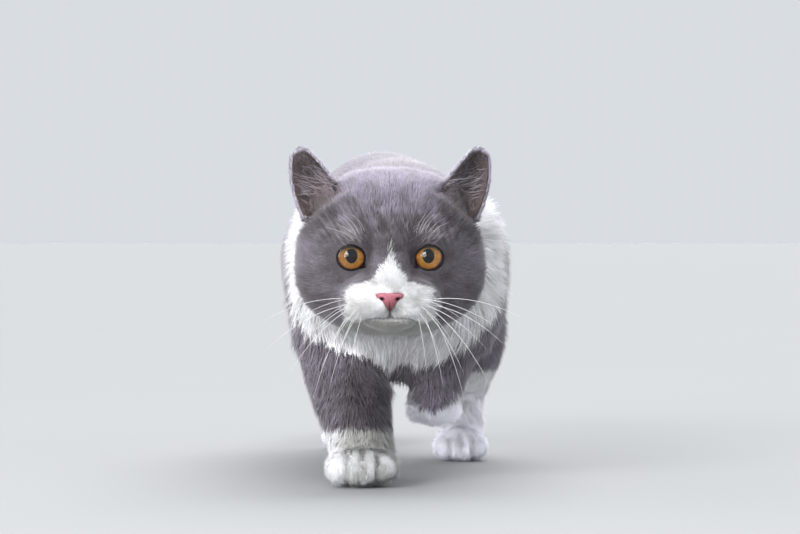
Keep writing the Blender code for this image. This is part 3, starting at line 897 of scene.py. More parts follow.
def ear_pocket(places, normals, ear):
    """1 inside the ear's opening, which reaches down over the side of the head."""
    _, back, _, _ = on_face(places)
    forward = -normals[:, BACK]
    faces = np.where(ear, smoothstep(forward, 0.05, 0.40), smoothstep(forward, -0.35, 0.0))
    along, over = beside_line(places, EAR_LINE)
    shape = smoothstep(over, 0.5, 4.0) * smoothstep(along, -9, -4) * (1 - smoothstep(along, 30, 36))
    _, inward = beside_line(places, EAR_INNER_LINE)
    shape *= 1 - smoothstep(inward, -1.5, 1.0) * (1 - ear)
    return shape * faces * (1 - smoothstep(back, *EAR_BACK))


def hollow_ears(places, normals, ear, length):
    """Sinks the ears' openings, and shortens their hair: (places, length, 1 inside an opening)."""
    hollow = ear_pocket(places, normals, ear)
    _, over = beside_line(places, EAR_LINE)
    in_head = HEAD_HOLLOW * (1 - smoothstep(over, 9, 17))
    deep = np.where(ear, EAR_HOLLOW * smoothstep(over, 0, 6), in_head)
    places = places - normals * (MM * hollow * deep)[:, None]
    length = length * (1 - EAR_TRIM * hollow)
    along, inward = beside_line(places, EAR_INNER_LINE)
    corner = patch(inward, along, (0, 0), EAR_CORNER) * (on_face(places)[1] < EAR_CORNER_BACK) * ~ear
    return places, length * (1 - EAR_CORNER_TRIM * corner), hollow


def form_muzzle(places, normals):
    """In millimetres outward: fills the whisker pads and parts them under the nose."""
    out, back, up, _ = on_face(places)
    front = smoothstep(-normals[:, BACK], 0.1, 0.6) * (1 - smoothstep(back, -4, 10))
    depth, width = PAD_CLEFT
    between = hump(out, 0, width) * smoothstep(-up, 30, 33) * (1 - smoothstep(-up, 36, 38))
    return front * (PAD_SWELL * patch(out, up, *PAD) - depth * between)


def toe_grooves(places, owners):
    """1 in the clefts between the toes, falling to 0 beside them."""
    cleft = np.zeros(len(places))
    for name, ahead in PAWS:
        low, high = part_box(name)
        half = (high.x - low.x) / 2
        front = low.y if ahead < 0 else high.y
        gone = np.abs(places[:, BACK] - front) / MM
        here = (owners == NODES.index(name)) * (1 - smoothstep(gone, *TOE_LENGTH))
        for step in (-1, 0, 1):
            across = (places[:, 0] - (low.x + high.x) / 2 - step * TOE_SPACING * half) / MM
            cleft = np.maximum(cleft, here * hump(across, 0, TOE_WIDTH))
    return cleft


def in_nose(places):
    """1 where the nose leather lies over the skin."""
    out, back, _, _ = on_face(places)
    up = 2 * (places[:, UP] - NOSE_LOW.z) / (NOSE_HIGH.z - NOSE_LOW.z) - 1
    half = along_table(up, NOSE_OUTLINE) * (NOSE_HIGH.x - NOSE_LOW.x) / 2 / MM - 0.4
    tall = (up > -0.90) & (up < 0.88)
    return np.where(tall & (back < 0) & (out < half), 1.0, 0.0)


def up_the_ear(places):
    """0 at the height of the ears' roots and 1 at their tips."""
    low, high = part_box("ear_left")
    return (places[:, UP] - low.z) / (high.z - low.z)


def out_of_ear(places):
    """From 0 at the ear's inner edge to 1 at its outer edge, level by level."""
    out, _, _, _ = on_face(places)
    low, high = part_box("ear_left")
    inner = (low.x - FACE.x) / MM + EAR_SLANT * np.clip(up_the_ear(places), 0, 1) ** 0.8
    outer = (high.x - FACE.x) / MM
    return np.clip((out - inner) / np.maximum(outer - inner, 3), 0, 1)


def ear_margin(normals, ear, edges):
    """1 along the edges of the ears, where their fronts turn to their backs."""
    margin = ear * (1 - smoothstep(np.abs(normals[:, BACK]), 0.15, 0.5))
    return ear * np.clip(2.2 * blended(margin, edges, 3)[:, 0], 0, 1)


def lids(side_name, side):
    """Both lids of one eye as a closed rim that lies on the eyeball."""
    centre = EYE[side_name]
    bm = bmesh.new()
    rows = []
    for step in range(LID_STEPS):
        turn = 2 * math.pi * step / LID_STEPS
        tilt = float(opening_tilt(turn))
        upper = 1 + UPPER_LID * max(0.0, math.sin(turn))
        row = []
        for outward, height in LID_PROFILE:
            lean = tilt + outward * upper * MM / BALL
            reach = BALL + height * upper * MM
            aside = reach * math.sin(lean)
            place = (-side * aside * math.cos(turn), -reach * math.cos(lean), aside * math.sin(turn))
            row.append(bm.verts.new(centre + Vector(place)))
        rows.append(row)
    for row, after in zip(rows, rows[1:] + rows[:1]):
        for at in range(len(row)):
            next_at = (at + 1) % len(row)
            bm.faces.new((row[at], after[at], after[next_at], row[next_at]))
    bmesh.ops.recalc_face_normals(bm, faces=bm.faces)
    mesh = bpy.data.meshes.new("lids_" + side_name)
    bm.to_mesh(mesh)
    bm.free()
    made = linked("lids_" + side_name, mesh)
    shaped(made, "SUBSURF", levels=1, render_levels=1)
    put_attribute(made.data, "rim", np.ones(len(made.data.vertices)))
    return made


class CAT_OT_skin(bpy.types.Operator):
    """Join the solids of flesh into one skin, lower it by the coat's depth and open its lids"""

    bl_idname = "cat.make_skin"
    bl_label = "Skin"

    def execute(self, context):
        skin = gather_flesh()
        smooth_form(skin)
        mesh = skin.data
        places = points_of(mesh)
        normals = normals_of(mesh)
        edges = edges_of(mesh)
        owners = nearest_nodes(places)
        ear = owned_by(owners, EARS)
        length = coat_length(places, base_length(owners, ear, edges))
        lie, stand = lie_of_coat(places, normals, owners, edges)
        put_attribute(mesh, "white", smoothstep(whiteness(places), -1.0, 1.0))
        places = set_back(places, normals, length, ear)
        places, lip = cut_mouth(places, normals)
        places = places + normals * (form_muzzle(places, normals) * MM)[:, None]
        groove = toe_grooves(places, owners)
        places = places - normals * (TOE_GROOVE * MM * groove)[:, None]
        over_lip = smoothstep(above_mouth(places), *LIP_COAT_RISE)
        length = length * (LIP_COAT + (1 - LIP_COAT) * over_lip) * (1 - TOE_TRIM * groove)
        length = length * (1 - CLEFT_TRIM * under_nose(places))
        places, length, hollow = hollow_ears(places, normals, ear, length)
        places = places + np.outer(receding_chin(places), CHIN_BACK)
        places = open_eyes(places)
        lie, length = lie_round_eyes(places, normals, lie, length)
        places[:, BACK] += NOSE_BED * in_nose(places)
        places[:, UP] = np.maximum(places[:, UP], FLOOR_GAP)
        move_points(mesh, places)
        # the ears' openings, which reach down over the head, take the bare skin's painted shade
        put_attribute(mesh, "bare", hollow)
        put_attribute(mesh, "blush", smoothstep(out_of_ear(places), 0.40, 0.95) * ear)
        put_attribute(mesh, "margin", ear_margin(normals, ear, edges))
        put_attribute(mesh, "lip", lip)
        put_attribute(mesh, "rim", tear_corner(places))
        put_attribute(mesh, "groove", groove)
        tail_end = owned_by(owners, ("tail_tip",))
        put_attribute(mesh, "stand", np.where(tail_end, np.clip(stand, 0, 1), 0))
        put_attribute(mesh, "reach", length)
        put_attribute(mesh, "ear", ear)
        put_attribute(mesh, "owner", owners)
        put_attribute(mesh, "foot", owned_by(owners, [name for name, _ in PAWS]))
        put_attribute(mesh, "lie", lie, "FLOAT_VECTOR")
        rims = [lids(name, side) for name, side in SIDES]
        take_up(skin)
        for rim in rims:
            rim.select_set(True)
        bpy.ops.object.join()
        bpy.ops.object.shade_smooth()
        mesh.materials.append(skin_finish(settings_of("skin"), settings_of("coat")))
        finish_piece(skin, "coat_slate", *FLESH)
        return {"FINISHED"}


# ---- The coat ----

# Tufts to the square millimetre, and their width in millimetres, by the coat's length.
TUFT_DENSITY = ((0.9, 9.0), (2.0, 8.0), (4.0, 6.2), (7.0, 4.3), (9.5, 2.71), (14.0, 1.96), (18.0, 1.72))
TUFT_WIDTH = ((0.9, 0.15), (3.0, 0.21), (6.0, 0.27), (9.0, 0.35), (14.0, 0.48), (18.0, 0.55))
LOW_LEGS = (-70, -50)                    # minus the heights between which the coat begins to thin
EYE_CLEAR = (0.12, -2, 14)               # no tuft grows this near to the opening, between these depths
TUFT_POINTS = 5
TUFT_LOOPS = (0, 1, 3, 2, 2, 3, 4)       # a quad from the root and a triangle to the tip
TUFT_STARTS = (0, 4)                     # where those two faces begin
TUFT_ALONG = (0.0, 0.0, 0.5, 0.5, 1.0)
TUFT_MAP = ((-1, -1), (1, -1), (-1, 0), (1, 0), (0, 1))
MAP_HALF = 0.0015                        # half of a tuft's patch on the map
BEND_AT = 0.45                           # the share of its length at which a tuft bends
BEND_WIDTH = 0.85                        # and its width there
TUFT_ROLL = 0.36                         # tufts turn about their own length by about this, in radians
TIP_PULL = 0.13                          # tips and bends are drawn to the middle of their lock
BEND_PULL = 0.03
TUFT_FLOOR = 0.1 * MM
SOFT_SKIN = 0.80                         # how far a tuft is lit as the skin is, and as a blade
SOFT_BLADE = 0.20
SOFT_SIDE = 0.16                         # its sides and its tip are lit as if they were round
SOFT_TIP = 0.20
MOST_TUFTS = 66000                       # in one piece

LONG_COAT = (6, 12)                      # lengths over which a coat counts as long
SWAY = ((0.22, 24, 3), (0.12, 5, 4))     # turns of the lie, in radians: (size, run, seed)
SWAY_LUCK = 0.15
CALM_SWAY = 0.48                         # a long coat sways this much less
SHORT_LOCK = (2.6, 21)                   # locks: (size, seed)
LONG_LOCK = (4.6, 31)
LONG_LOCK_FROM = 9
NO_LOCK_BELOW = 2.5
LOCK_WARP = 0.45
LENGTH_LUCK = (0.78, 1.18)               # shares of the usual length and width
WIDTH_LUCK = (0.75, 1.25)
LOCK_LENGTH = (0.92, 0.16)               # the least share in a lock, and how much its luck adds
TUFT_RISE = (40, 20)                     # degrees off the skin, at the root and near the tip
RISE_WAVE = (5, 3)                       # waves in it, and how much calmer they are in a long coat
RISE_LUCK = (6, 7)
CALM_RISE = 0.4
EAR_TUFT_RISE = (18, 8)
LONG_RISE = 8                            # a long coat lies this much lower
TINT_WAVE = 0.085                        # tints differ in waves, by lock and by luck
TINT_LOCK = 0.12
TINT_LUCK = 0.075
WHITE_EDGE_WAVE = 0.9                    # the edges of the markings wave and stray by this
WHITE_EDGE_LUCK = 0.7
HAIR_STRAY = 0.22                        # long fine hairs: how far they stray from their heading,
HAIR_WIDTH = (0.13, 0.22)                # their widths,
HAIR_RISE_LUCK = (6, 8)                  # the luck in their rise, in degrees,
HAIR_TINT = (0.60, 0.18)                 # and their tint and its luck

# Lighter and darker patches of the grey face, some of them painted shade and painted light: (shade, (out,
# over the eyes), widths).
FACE_PATCHES = (
    (0.08, (23, 13.5), (6.5, 3.6)),
    (0.05, (20, -11.5), (6.0, 3.5)),
    # painted shade under the ears
    (-0.26, (46, 24), (9.0, 7.0)),
    # painted light on the whisker pads
    (0.14, (0, -28), (20, 11)),
)
EYE_RING = (-0.34, 11, 5.5)              # painted shade round each eye's socket: (shade, distance from the eye's middle, width)
# How much each field of the face lightens or darkens its grey: streak, rays and mottle are the coat's own
# marks; cheek, lower and the field below the ears are painted shade; brow is a darker mark with painted shade
# under the brow; crown is painted light from above.
FACE_FIELDS = {"streak": -0.42, "cheek": -0.30, "rays": 0.14, "mottle": 0.20, "crown": 0.46,
               "brow": -0.30, "lower": -0.14, "shade_under_ears": -0.42}
FACE_TONE = -0.05

# The solids that each piece of coat covers.
SLATE_PARTS = {
    "face": HEAD,
    "ears": EARS,
    "nape": ("neck",),
    "back": ("chest", "belly"),
    "rump": ("rump",),
    "forelegs": ("foreleg_left", "foreleg_right", "forepaw_left", "forepaw_right"),
    "thighs": ("thigh_left", "thigh_right", "lower_leg_left", "lower_leg_right",
               "hindpaw_left", "hindpaw_right"),
    "tail": ("tail_root", "tail_middle", "tail_tip"),
}
EAR_PARTS = {
    "ear_fronts": HEAD + EARS + SLATE_PARTS["nape"],
}
WHITE_PARTS = {
    "muzzle": HEAD,
    "bib": ("neck", "chest", "belly", "rump") + EARS + SLATE_PARTS["tail"],
    "socks": SLATE_PARTS["forelegs"] + SLATE_PARTS["thighs"],
}


class Roots:
    """Where tufts grow on the skin: places, and how values at the skin's points read there."""

    def __init__(self, mesh, density, draw):
        mesh.calc_loop_triangles()
        count = len(mesh.loop_triangles)
        corners = np.empty(count * 3, np.int32)
        mesh.loop_triangles.foreach_get("vertices", corners)
        loops = np.empty(count * 3, np.int32)
        mesh.loop_triangles.foreach_get("loops", loops)
        corners = corners.reshape(-1, 3)
        places = points_of(mesh)
        one, two, three = (places[corners[:, at]] for at in range(3))
        area = np.linalg.norm(np.cross(two - one, three - one), axis=1) / 2
        wanted = np.cumsum(area / MM ** 2 * density[corners].mean(1))
        number = int(wanted[-1])
        level = (np.arange(number) + draw.random(number)) / number * wanted[-1]
        chosen = np.minimum(np.searchsorted(wanted, level), count - 1)
        far = np.sqrt(draw.random(number))
        swing = draw.random(number)
        self.shares = np.stack([1 - far, far * (1 - swing), far * swing], axis=1)
        self.corners = corners[chosen]
        self.loops = loops.reshape(-1, 3)[chosen]
        self.places = self.read(places)

    def read(self, values):
        """Values at the skin's points, read at the roots."""
        if values.ndim == 1:
            return (values[self.corners] * self.shares).sum(1)
        return (values[self.corners] * self.shares[:, :, None]).sum(1)

    def read_map(self, layer):
        """The roots' places on the skin's own unwrap."""
        flat = np.empty(len(layer.data) * 2, np.float32)
        layer.data.foreach_get("uv", flat)
        return (flat.reshape(-1, 2)[self.loops] * self.shares[:, :, None]).sum(1)


def locks(places, cell, seed):
    """Groups roots into small locks: (lock number of each, middle of its lock)."""
    warped = places / cell
    for column in range(3):
        warped[:, column] += LOCK_WARP * waves(places, 3.1 * cell, seed + column)
    cells = np.floor(warped - warped.min(0)).astype(np.int64)
    keys = (cells[:, 0] << 40) + (cells[:, 1] << 20) + cells[:, 2]
    _, number = np.unique(keys, return_inverse=True)
    number = number.reshape(-1)
    count = np.bincount(number)
    middle_of = np.stack([np.bincount(number, places[:, c]) / count for c in range(3)], axis=1)
    return number, middle_of[number]


def blades(coat, draw):
    """(points, normals) of the tufts of a coat: narrow blades, each bent once on its way to its tip."""
    root, out, lie = coat["root"], coat["out"], coat["lie"]
    side = unit(np.cross(lie, out))
    roll = draw.normal(0, TUFT_ROLL, len(root))[:, None]
    side = unit(side * np.cos(roll) + out * np.sin(roll))
    low = coat["low"][:, None]
    high = coat["high"][:, None]
    reach = coat["length"][:, None]
    first = lie * np.cos(low) + out * np.sin(low)
    second = lie * np.cos(high) + out * np.sin(high)
    bend = root + first * reach * BEND_AT
    tip = bend + second * reach * (1 - BEND_AT)
    drawn = along_surface(coat["lock"] - root, out)
    tip += TIP_PULL * drawn
    bend += BEND_PULL * drawn
    half = side * coat["width"][:, None] / 2
    at_bend = BEND_WIDTH * half
    points = np.stack([root - half, root + half, bend - at_bend, bend + at_bend, tip], axis=1)
    points[:, :, UP] = np.maximum(points[:, :, UP], TUFT_FLOOR)
    soft = SOFT_SKIN * out + SOFT_BLADE * unit(np.cross(side, tip - bend))
    left = soft - SOFT_SIDE * side
    right = soft + SOFT_SIDE * side
    return points, unit(np.stack([left, right, left, right, soft + SOFT_TIP * second], axis=1))


def lay_coat(name, coat, finish, slot, draw):
    """One piece of coat, from the rows of arrays that say where and how its tufts stand."""
    count = len(coat["root"])
    points, normals = blades(coat, draw)
    mesh = bpy.data.meshes.new(name)
    mesh.vertices.add(count * TUFT_POINTS)
    mesh.vertices.foreach_set("co", points.astype(np.float32).ravel())
    starts = (np.arange(count) * TUFT_POINTS)[:, None]
    corners = (starts + np.array(TUFT_LOOPS)).astype(np.int32)
    mesh.loops.add(corners.size)
    mesh.loops.foreach_set("vertex_index", corners.ravel())
    begins = (np.arange(count) * len(TUFT_LOOPS))[:, None] + np.array(TUFT_STARTS)
    mesh.polygons.add(begins.size)
    mesh.polygons.foreach_set("loop_start", begins.astype(np.int32).ravel())
    mesh.polygons.foreach_set("use_smooth", np.ones(begins.size, bool))
    layer = mesh.uv_layers.new(name="OFBake")
    corners_on_map = (np.array(TUFT_MAP) * MAP_HALF)[list(TUFT_LOOPS)]
    flat = np.clip(coat["map"][:, None, :] + corners_on_map, 0, 1)
    layer.data.foreach_set("uv", flat.astype(np.float32).ravel())
    mesh.update(calc_edges=True)
    put_attribute(mesh, "along", np.tile(TUFT_ALONG, count))
    put_attribute(mesh, "tint", np.repeat(coat["tint"], TUFT_POINTS))
    put_attribute(mesh, "custom_normal", normals.reshape(-1, 3), "FLOAT_VECTOR")
    mesh.materials.append(finish)
    return finish_piece(linked(name, mesh), slot)


def face_shade(points):
    """Lighter and darker fields of the grey on the head, about 0: the coat's own marks, painted shade and
    painted light.
    """
    out, back, up, _ = on_face(points)
    shade = np.full(len(points), FACE_TONE)
    ring, ring_out, ring_width = EYE_RING
    # painted shade round each eye
    for name, side in SIDES:
        _, _, distance = round_eye(points, name, side)
        shade += ring * hump(distance / MM, ring_out, ring_width)
    for tone, centre, widths in FACE_PATCHES:
        shade += tone * patch(out, up, centre, widths)
    streak = hump(out - 12.6 - 0.09 * up, 0, 2.6) * smoothstep(up, -17, -9)
    heading = np.arctan2(out, np.maximum(up + 12, 1))
    rays = np.sin(heading * 23 + 1.2 * waves(points, 20 * MM, 9))
    brow = (1 - smoothstep(out, 12, 26)) * smoothstep(up, -4, 3)
    along, over = beside_line(points, EAR_LINE)
    # painted shade below the ears' openings
    shade_under_ears = hump(over, -3.5, 5.5) * smoothstep(along, -7, 2)
    fields = {
        "streak": streak * (1 - smoothstep(up, 14, 30)),
        # painted shade on the lower cheeks
        "cheek": smoothstep(out, 32, 50) * smoothstep(-up, 0, 24),
        "rays": rays * smoothstep(up, 6, 18),
        "mottle": waves(points, 4.5 * MM, 12) * smoothstep(up, 2, 14),
        # painted light on the top of the head, lit from above
        "crown": smoothstep(up, 16, 44) * (1 - smoothstep(out, 34, 50)),
        # the coat's darker mark between the eyes, with painted shade under the brow
        "brow": brow * (1 - smoothstep(up, 12, 27)),
        # painted shade over the lower face
        "lower": smoothstep(-up, 4, 22),
        "shade_under_ears": shade_under_ears * (1 - smoothstep(along, 30, 38)),
    }
    shade += sum(FACE_FIELDS[name] * field for name, field in fields.items())
    return shade * (1 - smoothstep(back, 30, 60))


def chin_shade(points):
    """Painted shade on the chin, in the line under it and in the cleft under the nose, and painted light on
    the feet.
    """
    out, back, up, _ = on_face(points)
    # painted shade on the chin under the muzzle
    chin = smoothstep(-up, 36, 39) * (1 - smoothstep(out, 20, 34)) * (1 - smoothstep(back, 20, 60))
    under_chin = patch(out, up, (0, -42), (15, 4.5)) * (back < 20)
    # painted light on the feet
    feet = smoothstep(-height_of(points), -52, -42)
    return 0.16 * feet - 0.40 * chin - 0.35 * under_nose(points) - 0.16 * under_chin


def unwrap(skin):
    """Gives the skin a map of its own shape."""
    take_up(skin)
    bpy.ops.object.mode_set(mode="EDIT")
    bpy.ops.mesh.select_all(action="SELECT")
    bpy.ops.uv.smart_project(angle_limit=math.radians(66), island_margin=0.0005)
    bpy.ops.object.mode_set(mode="OBJECT")
    return skin.data.uv_layers.active


def coat_density(mesh, share):
    """Tufts to the square millimetre at each point of the skin."""
    places = points_of(mesh)
    density = along_table(values_of(mesh, "reach"), TUFT_DENSITY) * share
    for thinner, where in (
        (0.50, values_of(mesh, "bare")),
        (0.50, values_of(mesh, "foot")),
        (0.20, smoothstep(-height_of(places), *LOW_LEGS)),
        (0.9, values_of(mesh, "lip")),
        (0.9, under_nose(places)),
        (1, in_nose(places)),
        (1, tear_corner(places)),
    ):
        density *= 1 - thinner * where
    gap, behind, front = EYE_CLEAR
    for name, side in SIDES:
        past, ahead, _ = past_lids(places, name, side)
        density = np.where((past < gap) & (ahead > behind) & (ahead < front), 0, density)
    return density


def swayed(lie, out, spot, long_coat, draw):
    """The lie of the tufts, turned a little to either side in waves and by luck."""
    sway = sum(size * waves(spot, run * MM, seed) for size, run, seed in SWAY)
    sway = (sway + draw.normal(0, SWAY_LUCK, len(spot))) * (1 - CALM_SWAY * long_coat)
    sway = sway[:, None]
    return lie * np.cos(sway) + np.cross(out, lie) * np.sin(sway)


def gathered(spot, length, long_coat, draw):
    """(the point that each tuft's tip is drawn to, the luck its lock shares)."""
    short, short_middle = locks(spot, SHORT_LOCK[0] * MM, SHORT_LOCK[1])
    long, long_middle = locks(spot, LONG_LOCK[0] * MM, LONG_LOCK[1])
    is_short = length < LONG_LOCK_FROM
    drawn_to = np.where(is_short[:, None], short_middle, long_middle)
    drawn_to = np.where((length < NO_LOCK_BELOW)[:, None], spot, drawn_to)
    drawn_to = drawn_to + (spot - drawn_to) * 0.5 * long_coat[:, None]
    long_luck = draw.random(long.max() + 1)[long]
    short_luck = draw.random(short.max() + 1)[short]
    return drawn_to, np.where(is_short, short_luck, long_luck)


def risen(mesh, roots, long_coat, draw):
    """How steeply each tuft rises off the skin, in radians: (at its root, past its bend)."""
    count = len(roots.places)
    wave, calmer = RISE_WAVE
    rise = (wave - calmer * long_coat) * waves(roots.places, 9 * MM, 5)
    low, high = (angle - LONG_RISE * long_coat for angle in TUFT_RISE)
    low_luck, high_luck = (draw.normal(0, luck, count) for luck in RISE_LUCK)
    low = np.radians(low + rise + low_luck)
    high = np.radians(high + high_luck * (1 - CALM_RISE * long_coat))
    stand = np.arcsin(np.clip(roots.read(values_of(mesh, "stand")), 0, 0.99))
    low = np.maximum(low, stand)
    high = np.maximum(high, stand * 0.95)
    on_ear = roots.read(values_of(mesh, "ear")) > 0.5
    ear_low, ear_high = np.radians(EAR_TUFT_RISE)
    return np.where(on_ear, ear_low, low), np.where(on_ear, ear_high, high)


def tinted(mesh, roots, luck, draw):
    """The tint of each tuft, from 0 dark to 1 light."""
    spot = roots.places
    tint = 0.5 + TINT_WAVE * waves(spot, 9 * MM, 6) + TINT_LOCK * (luck - 0.5)
    tint = tint + draw.normal(0, TINT_LUCK, len(spot))
    # the face's and chin's fields add painted shade and painted light to the coat's own marks
    tint += face_shade(spot) + chin_shade(spot)
    # painted shade in the toes' clefts, painted rim light on the ears' edges and painted light on the feet
    for lighter, name in ((-0.30, "groove"), (0.40, "margin"), (0.20, "foot")):
        tint += lighter * roots.read(values_of(mesh, name))
    return np.clip(tint, 0, 1)


def grown(mesh, roots, layer, draw):
    """All the tufts of the short and plush coat, as named rows of arrays."""
    spot = roots.places
    count = len(spot)
    out = unit(roots.read(normals_of(mesh)))
    lie = unit(along_surface(roots.read(values_of(mesh, "lie", 3)), out))
    length = roots.read(values_of(mesh, "reach"))
    long_coat = smoothstep(length, *LONG_COAT)
    lie = swayed(lie, out, spot, long_coat, draw)
    drawn_to, luck = gathered(spot, length, long_coat, draw)
    least, gain = LOCK_LENGTH
    reach = length * MM * draw.uniform(*LENGTH_LUCK, count) * (least + gain * luck)
    width = along_table(length, TUFT_WIDTH) * MM * draw.uniform(*WIDTH_LUCK, count)
    low, high = risen(mesh, roots, long_coat, draw)
    return {"root": spot, "out": out, "lie": lie, "length": reach, "width": width, "low": low,
            "high": high, "tint": tinted(mesh, roots, luck, draw), "map": roots.read_map(layer),
            "lock": drawn_to}


def in_pieces(rows, spot):
    """Shares rows of tufts out from nose to tail, so that no piece holds too many."""
    pieces = -(-len(rows) // MOST_TUFTS)
    if pieces > 1:
        rows = rows[np.argsort(spot[rows, BACK], kind="stable")]
    return np.array_split(rows, pieces) if pieces else []


def long_hairs(name, density, heading, lengths, finish, draw, slot="coat_slate", rise=(32, 6)):
    """Sparse fine hairs over the coat: heading is (outward, back, up), length in millimetres."""
    mesh = bpy.data.objects["skin"].data
    roots = Roots(mesh, density, draw)
    spot = roots.places
    count = len(spot)
    out = unit(roots.read(normals_of(mesh)))
    side = np.sign(spot[:, 0] - FACE.x)
    lie = np.stack([heading[0] * side, np.full(count, heading[1]), np.full(count, heading[2])], axis=1)
    lie = unit(lie + draw.normal(0, HAIR_STRAY, (count, 3)))
    hairs = {
        "root": spot,
        "out": out,
        "lie": unit(along_surface(lie, out)),
        "length": draw.uniform(*lengths, count) * MM,
        "width": draw.uniform(*HAIR_WIDTH, count) * MM,
        "low": np.radians(draw.normal(rise[0], HAIR_RISE_LUCK[0], count)),
        "high": np.radians(draw.normal(rise[1], HAIR_RISE_LUCK[1], count)),
        "tint": np.clip(draw.normal(*HAIR_TINT, count), 0, 1),
        "map": roots.read_map(mesh.uv_layers.active),
        "lock": spot,
    }
    lay_coat(name, hairs, finish, slot, draw)


def furnish(white, settings, draw):
    """Long pale hairs that cross the ears, stand over the eyes and edge the whisker pads, and short hairs
    along the ears' edges, pale with painted rim light.
    """
    mesh = bpy.data.objects["skin"].data
    places = points_of(mesh)
    normals = normals_of(mesh)
    out, back, up, _ = on_face(places)
    facing = smoothstep(-normals[:, BACK], 0.1, 0.4)
    inner = 1 - smoothstep(out_of_ear(places), 0.20, 0.60)
    inner = inner * (1 - smoothstep(up_the_ear(places), 0.35, 0.75))
    in_ears = 0.55 * inner * (values_of(mesh, "ear") > 0.5) * facing
    rims = 7.0 * smoothstep(values_of(mesh, "margin"), 0.5, 0.9) * (normals[:, BACK] < 0.6)
    over_brow = up - 12.0 - 0.12 * (out - 22)
    brow = 0.95 * patch(out, over_brow, (22, 0), (7.0, 3.2)) * (facing * (back < 24))
    pad = 1.1 * patch(out, up, (22.4, -21.0), (1.8, 2.6)) * (back < 24)
    pale = coat_finish("ear_tuft_hair", settings.ear_tip, settings.furnishing, settings.furnishing)
    # the ears' rim hairs are pale with painted rim light
    edge = coat_finish("rim_lit_ear_hair", settings.slate_tip, settings.ear_rim_light, settings.ear_rim_light)
    long_hairs("coat_slate_ear_tufts", in_ears, (0.95, -0.15, 0.28), (7.5, 13.5), pale, draw)
    long_hairs("coat_slate_ear_rim_light", rims, (0.1, 0.1, 1.0), (1.6, 3.0), edge, draw, rise=(40, 30))
    long_hairs("coat_slate_brow_tufts", brow, (0.62, 0.1, 0.78), (4.5, 8.5), pale, draw)
    long_hairs("coat_white_pad_tufts", pad, (0.90, 0.25, 0.35), (4.5, 7.5), white, draw, "coat_white")


class CAT_OT_coat(bpy.types.Operator):
    """Lay the tufts of both colours over the skin"""

    bl_idname = "cat.make_coat"
    bl_label = "Coat"

    def execute(self, context):
        settings = settings_of("coat")
        draw = np.random.default_rng(11)
        skin = bpy.data.objects["skin"]
        layer = unwrap(skin)
        mesh = skin.data
        roots = Roots(mesh, coat_density(mesh, settings.density), draw)
        coat = grown(mesh, roots, layer, draw)
        spot = roots.places
        count = len(spot)
        owner = values_of(mesh, "owner")[roots.corners[:, 0]].astype(int)
        edge = whiteness(spot) + WHITE_EDGE_WAVE * waves(spot, 5 * MM, 7)
        is_white = edge + draw.normal(0, WHITE_EDGE_LUCK, count) > 0
        # hair in the ears' openings takes the ear finish, with painted shade of the hollow
        pocket = values_of(mesh, "bare") * (1 - 0.9 * values_of(mesh, "margin"))
        in_ear = roots.read(pocket) > draw.uniform(0.35, 0.65, count)
        slate = coat_finish("slate_hair", settings.slate_root, settings.slate_body, settings.slate_tip)
        white = coat_finish("white_hair", settings.white_root, settings.white_body, settings.white_tip)
        shaded_ear_finish = coat_finish("shaded_ear_hair", settings.ear_root, settings.ear_body, settings.ear_tip)
        for parts, chosen, finish, slot in (
            (SLATE_PARTS, ~is_white & ~in_ear, slate, "coat_slate"),
            (EAR_PARTS, ~is_white & in_ear, shaded_ear_finish, "coat_slate"),
            (WHITE_PARTS, is_white, white, "coat_white"),
        ):
            for part, names in parts.items():
                pieces = in_pieces(np.flatnonzero(chosen & owned_by(owner, names)), spot)
                for number, rows in enumerate(pieces, 1):
                    name = f"{slot}_{part}" + (f"_{number}" if len(pieces) > 1 else "")
                    own = {key: held[rows] for key, held in coat.items()}
                    lay_coat(name, own, finish, slot, draw)
        furnish(white, settings, draw)
        for spare in ("lie", "reach", "ear", "owner", "stand", "foot", "groove", "margin"):
            mesh.attributes.remove(mesh.attributes[spare])
        return {"FINISHED"}


# ---- Eyes, nose and whiskers ----

IRIS_RADIUS = 8.1
IRIS_PLANE = 6.35                        # the iris lies this far in front of the ball's middle
IRIS_DOME = 0.45
LIMBUS = 8.5                             # where the clear cornea joins the ball
CORNEA_TOP = 11.6
CORNEA_FOOT = 5.8
CORNEA_BACK = 5.1
EYE_TURN = math.radians(-3.0)            # each eye looks this far outward
EYE_LIFT = math.radians(6.5)             # and this far up
PUPIL_DARK = (0.004, 0.004, 0.005, 1.0)
BALL_DARK = (0.035, 0.018, 0.014, 1.0)

NOSE_OUTLINE = ((-1.0, 0.08), (-0.75, 0.18), (-0.45, 0.32), (-0.1, 0.49), (0.2, 0.68), (0.45, 0.93),
                (0.65, 1.06), (0.85, 0.98), (1.0, 0.82))
NOSE_PROFILE = ((-1.0, 2.4), (-0.7, 1.2), (-0.3, 0.2), (0.1, -0.5), (0.4, -0.5), (0.7, 0.3), (1.0, 2.8))
NOSE_FORWARD = 0.7                       # the leather stands this far ahead of its solid
NOSE_ROUND = (3.4, 1.9)                  # how far its sides fall back, and how late
NOSE_EDGE = (2.0, 0.70)                  # how far its edge rolls in, and from where
NOSTRIL = (4.5, 0.32)                    # out, and up as a share of half the height
# Depth and darkness of the nostril, the slit beside it, the wing over it and the cleft; the darkness is
# painted shade in these hollows.
NOSE_DEPTH = (2.6, 1.3, -0.55, 0.45)
NOSE_DARK = (1.15, 0.75, 0.0, 0.25)
NOSE_LOW_DARK = 0.74                     # the lower leather lies in the muzzle's shade
NOSE_STUB = 5 * MM                       # it runs on this far into the muzzle

